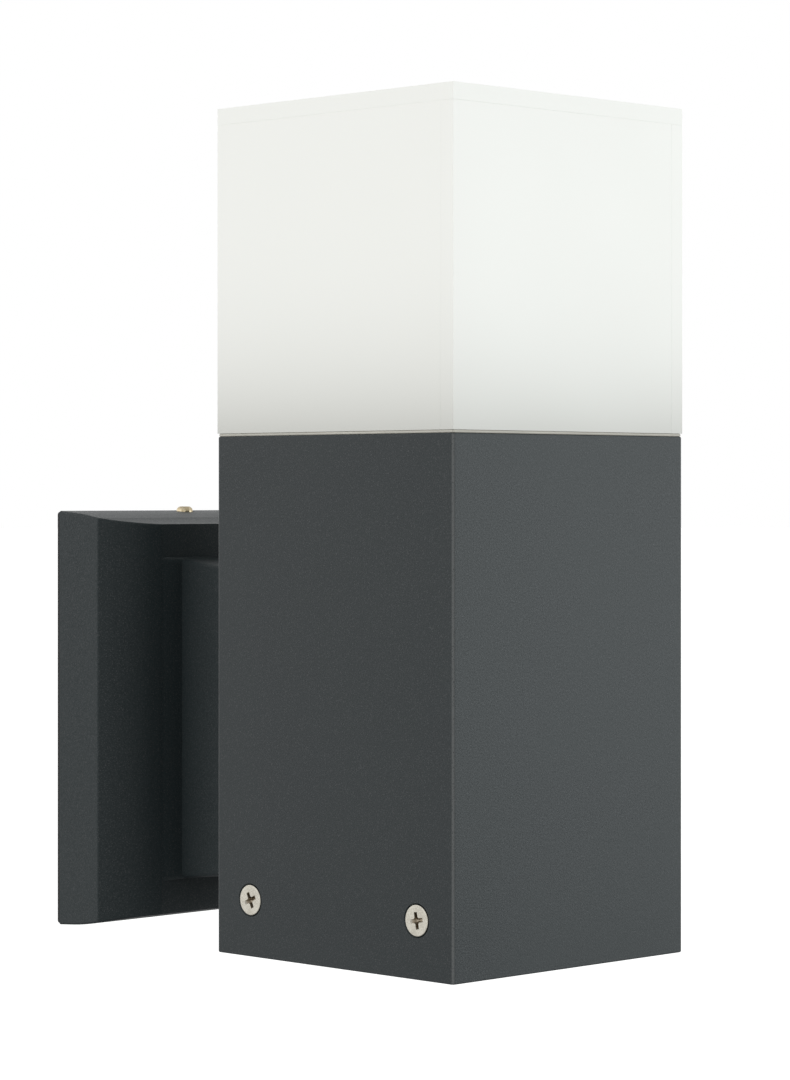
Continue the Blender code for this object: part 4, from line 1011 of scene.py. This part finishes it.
def wall_strap():
    low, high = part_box("wall_strap")
    sheet = 2 * MM
    inner = high.z - sheet
    outline = [(0, low.z), (0, high.z), (low.y, high.z), (low.y, inner)]
    outline += [(-sheet, inner), (-sheet, -inner), (low.y, -inner), (low.y, low.z)]
    mesh = extruded(eased(outline, 0.9 * MM, closed=True), low.x, high.x, "X")
    mesh = softened(mesh, 0.25 * MM, 60)
    cuts = []
    for z in (-38 * MM, 38 * MM):
        slot = rounded_rectangle(7 * MM, 2.6 * MM, 2.59 * MM, 8)
        cuts.append((extruded(slot, -sheet - PAST, PAST, "Y"), at(0, 0, z), CUT))
    for z, facing in ((high.z, "+Z"), (low.z, "-Z")):
        tapped = rod(M3_HOLE, -sheet - PAST, PAST, 24)
        cuts.append((tapped, at(0, middle("lock_screw_top").y, z, facing), CUT))
    add_piece("wall_strap_folded", carve(mesh, cuts), zinc, ["wall_strap"])


def lead_grommet():
    outer_flange = in_mm((4, 1.8), (8.4, 1.8), (9, 1.2), (9, 0.3), (6.7, 0.3))
    inner_flange = in_mm((6.7, -2.3), (9, -2.3), (9, -3.2), (8.4, -3.8), (4, -3.8))
    mesh = turned(outer_flange + inner_flange, 48, 0.5 * MM)
    place = at(0, BODY_BACK, 0, "+Y")
    add_piece("lead_grommet_rubber", mesh, rubber_black, ["lead_grommet"], place=place)


# Wiring

POLES = ("live", "neutral", "earth")
CLAMP_OFFSET = 5.4 * MM  # from the middle of the block to each clamp screw


def terminal_block():
    """The three-pole block: its moulding, the clamp screws in it, and a brass sleeve for each pole."""
    low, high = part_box("terminal_block")
    spot = middle("terminal_block")
    mesh = box(low, high, 0.6 * MM)
    cuts = []
    heights = [middle(f"terminal_{pole}").z for pole in POLES]
    for above, below in zip(heights, heights[1:]):
        z = (above + below) / 2
        for x_low, x_high in ((low.x - PAST, spot.x - 3.4 * MM), (spot.x + 3.4 * MM, high.x + PAST)):
            slit = box((x_low, high.y - 4.5 * MM, z - 0.8 * MM), (x_high, high.y + PAST, z + 0.8 * MM), 0)
            cuts.append((slit, HERE, CUT))
    clamps = []
    for z in heights:
        cuts.append((rod(2.2 * MM, -11 * MM, 11 * MM, 32), at(spot.x, spot.y, z, "+X"), CUT))
        for x in (spot.x - CLAMP_OFFSET, spot.x + CLAMP_OFFSET):
            cuts.append((rod(2.1 * MM, -5.2 * MM, PAST, 32), at(x, high.y, z, "+Y"), CUT))
            clamps.append(clamp_screw(at(x, high.y - 2.2 * MM, z, "+Y", 25 if x < spot.x else 70)))
    cuts.append((rod(M3_HOLE, -16 * MM, PAST, 32), at(spot.x, high.y, heights[0] / 2, "+Y"), CUT))
    mesh = carve(mesh, cuts)
    add_piece("terminal_block_moulding", mesh, holder_white, ["terminal_block"])
    add_piece("terminal_clamp_screws", joined(clamps), zinc)
    for pole in POLES:
        sleeve_low, sleeve_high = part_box(f"terminal_{pole}")
        half = (sleeve_high.x - sleeve_low.x) / 2
        ring = ((1.9 * MM, -half), (1.9 * MM, half), (1.4 * MM, half), (1.4 * MM, -half))
        place = at(*middle(f"terminal_{pole}"), "+X")
        name = f"terminal_{pole}_sleeve"
        add_piece(name, turned(ring, 32, 0.15 * MM), brass, [f"terminal_{pole}"], place=place)


def clamp_screw(place):
    """A small slotted grub screw of the terminal block."""
    body = rod(1.85 * MM, -2.6 * MM, 0, 28)
    slot = box((-2 * MM, -0.25 * MM, -0.7 * MM), (2 * MM, 0.25 * MM, PAST), 0)
    return moved(carve(body, [(slot, HERE, CUT)]), place)


def earth_lug():
    """The ring terminal on the earth pad."""
    low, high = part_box("earth_lug")
    spot = middle("earth_lug")
    thickness = high.y - low.y
    ring = ((5 * MM, 0), (5 * MM, thickness), (M4_HOLE, thickness), (M4_HOLE, 0))
    place = at(spot.x, low.y, spot.z, "+Y")
    add_piece("earth_lug_ring", turned(ring, 40), brass, ["earth_lug"], place=place)


LEAD_RADIUS = 1.1 * MM
LEAD_STEP = 1.2 * MM  # between the rings of a lead's tube


def leads():
    """The three leads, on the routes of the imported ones."""
    block_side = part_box("terminal_block")[0].x - GAP
    block_y = middle("terminal_block").y
    holder_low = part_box("lampholder_body")[0].z
    heights = {pole: middle(f"terminal_{pole}").z for pole in POLES}
    runs = (("live", -1, brown_pvc, "brown_lead"), ("neutral", 1, blue_pvc, "blue_lead"))
    for pole, side, look, slot in runs:
        apart = side * 1.9 * MM
        hole_x = side * LEAD_HOLE_X
        height = heights[pole]
        route = [(block_side, block_y, height), (12 * MM, -16 * MM, height * 0.9)]
        route += [(4 * MM + apart, -26 * MM, height * 0.5), (apart, -44 * MM, 0), (apart, -62 * MM, 0)]
        route += [(apart, BODY_BACK, 0), (apart, -88 * MM, 0), (apart * 1.4, -104 * MM, 4 * MM)]
        route += [(hole_x * 0.9, -121 * MM, 14 * MM), (hole_x, BODY_Y, 30 * MM)]
        route += [(hole_x, BODY_Y, holder_low - GAP), (hole_x, BODY_Y, holder_low + 10 * MM)]
        mesh = tube(smooth_curve(route, spacing=LEAD_STEP), LEAD_RADIUS)
        add_piece(f"lead_{pole}_insulated", mesh, look, [f"lead_{pole}"], sharp=60)
    lug = middle("earth_lug")
    route = (
        (block_side, block_y, heights["earth"]),
        (10 * MM, -16 * MM, -13 * MM),
        (-2 * MM, -20 * MM, -22 * MM),
        (-14 * MM, -20 * MM, -29 * MM),
        (lug.x + 5 * MM + LEAD_RADIUS + GAP, -20 * MM + LEAD_RADIUS, lug.z),
    )
    mesh = tube(smooth_curve(route, spacing=LEAD_STEP), LEAD_RADIUS)
    add_piece("lead_earth_insulated", mesh, green_yellow_pvc, ["lead_earth"], sharp=60)


# Camera, floor and light

CAMERA_TURN = math.radians(-44.843)
CAMERA_DISTANCE = 973.16 * MM  # to the near edge of the body, along the view
CAMERA_ASIDE = 16.49 * MM  # how far that edge is to the right of the view's axis
CAMERA_HEIGHT = 139.17 * MM  # above the bottom of the body
CAMERA_LENS = 114.36  # on a sensor 36 mm wide
CAMERA_SHIFT = -0.042  # of the frame's longer side
FLOOR_BELOW = 250 * MM


def camera():
    data = bpy.data.cameras.new("camera")
    data.lens = CAMERA_LENS
    data.sensor_width = 36
    data.shift_y = CAMERA_SHIFT
    made = linked("camera", data)
    ahead = Vector((-math.sin(CAMERA_TURN), math.cos(CAMERA_TURN), 0))
    right = Vector((math.cos(CAMERA_TURN), math.sin(CAMERA_TURN), 0))
    near_edge = Vector((BODY_LOW.x, BODY_LOW.y, BODY_LOW.z + CAMERA_HEIGHT))
    made.location = near_edge - ahead * CAMERA_DISTANCE - right * CAMERA_ASIDE
    made.rotation_euler = (math.pi / 2, 0, CAMERA_TURN)
    bpy.context.scene.camera = made


def floor():
    half = 30.0
    z = BODY_LOW.z - FLOOR_BELOW
    mesh = bpy.data.meshes.new("floor")
    corners = [(-half, -half, z), (half, -half, z), (half, half, z), (-half, half, z)]
    mesh.from_pydata(corners, [], [(0, 1, 2, 3)])
    look = Look("floor_paper", (0.97, 0.97, 0.965), 1.0, Specular_IOR_Level=0.0, Emission_Strength=0.3)
    look.shader.inputs["Emission Color"].default_value = (1, 1, 1, 1)
    look.drive("Base Color", look.mixed(look.noise(0.4), (0.965, 0.965, 0.96), (0.98, 0.98, 0.975)))
    mesh.materials.append(look.material)
    made = linked("floor", mesh)
    made.visible_diffuse = False
    made.visible_glossy = False


def softbox(name, place, size, power, colour=(1, 1, 1)):
    data = bpy.data.lights.new(name, "AREA")
    data.shape = "RECTANGLE"
    data.size, data.size_y = size
    data.energy = power
    data.color = colour
    made = linked(name, data)
    made.location = place
    target = Vector((0, BODY_Y, 40 * MM))
    made.rotation_euler = (Vector(place) - target).to_track_quat("Z", "Y").to_euler()


LIGHT_ROUND = 1.63  # strength of the bright surround
LIGHT_BELOW = 0.3  # how much of it is left in each of these directions
LIGHT_ABOVE = 0.35
LIGHT_FRONT_LEFT = 0.6
LIGHT_BACK_RIGHT = 0.65
LIGHT_FRONT_RIGHT = 0.65


def studio_world():
    """A bright surround, dimmer in five directions, and plain white where the camera sees it."""
    world = bpy.data.worlds.new("studio")
    world.use_nodes = True
    nodes = Nodes(world.node_tree)
    direction = nodes.node("ShaderNodeTexCoord").outputs["Generated"]
    height = nodes.along("Z", direction)
    below = nodes.spread(height, -0.45, 0.02, LIGHT_BELOW, 1.0)
    factors = [nodes.spread(height, 0.3, 1.0, 1.0, LIGHT_ABOVE)]
    for x, y, start, left in (
        (-0.7, -0.7, 0.2, LIGHT_FRONT_LEFT),
        (0.7, 0.7, 0.2, LIGHT_BACK_RIGHT),
        (0.7, -0.7, 0.3, LIGHT_FRONT_RIGHT),
    ):
        inputs = {0: direction, 1: (x, y, 0.0)}
        towards = nodes.node("ShaderNodeVectorMath", inputs, operation="DOT_PRODUCT").outputs["Value"]
        factors.append(nodes.spread(towards, start, 0.95, 1.0, left))
    strength = nodes.combined("MULTIPLY", below, LIGHT_ROUND)
    for factor in factors:
        strength = nodes.combined("MULTIPLY", strength, factor)
    seen = nodes.node("ShaderNodeLightPath").outputs["Is Camera Ray"]
    strength = nodes.node("ShaderNodeMix", {0: seen, 2: strength, 3: 1.0}).outputs[0]
    background = world.node_tree.nodes["Background"]
    world.node_tree.links.new(strength, background.inputs["Strength"])
    background.inputs["Color"].default_value = (1, 1, 1, 1)
    bpy.context.scene.world = world
    bpy.context.scene.view_settings.view_transform = "Standard"


def light():
    studio_world()
    softbox("key", (1.5, -1.6, 0.1), (0.9, 1.1), 8.5, (0.92, 0.985, 1.0))
    softbox("edge", (-1.5, -1.5, 0.15), (0.25, 0.8), 0.9)


body_tube()
side_screws()
bottom_tray()
lamp_bridge()
inner_screws()
lampholder()
lamp()
shade()
wall_bracket()
lock_screws()
wall_gasket()
wall_strap()
lead_grommet()
terminal_block()
earth_lug()
leads()
camera()
floor()
light()
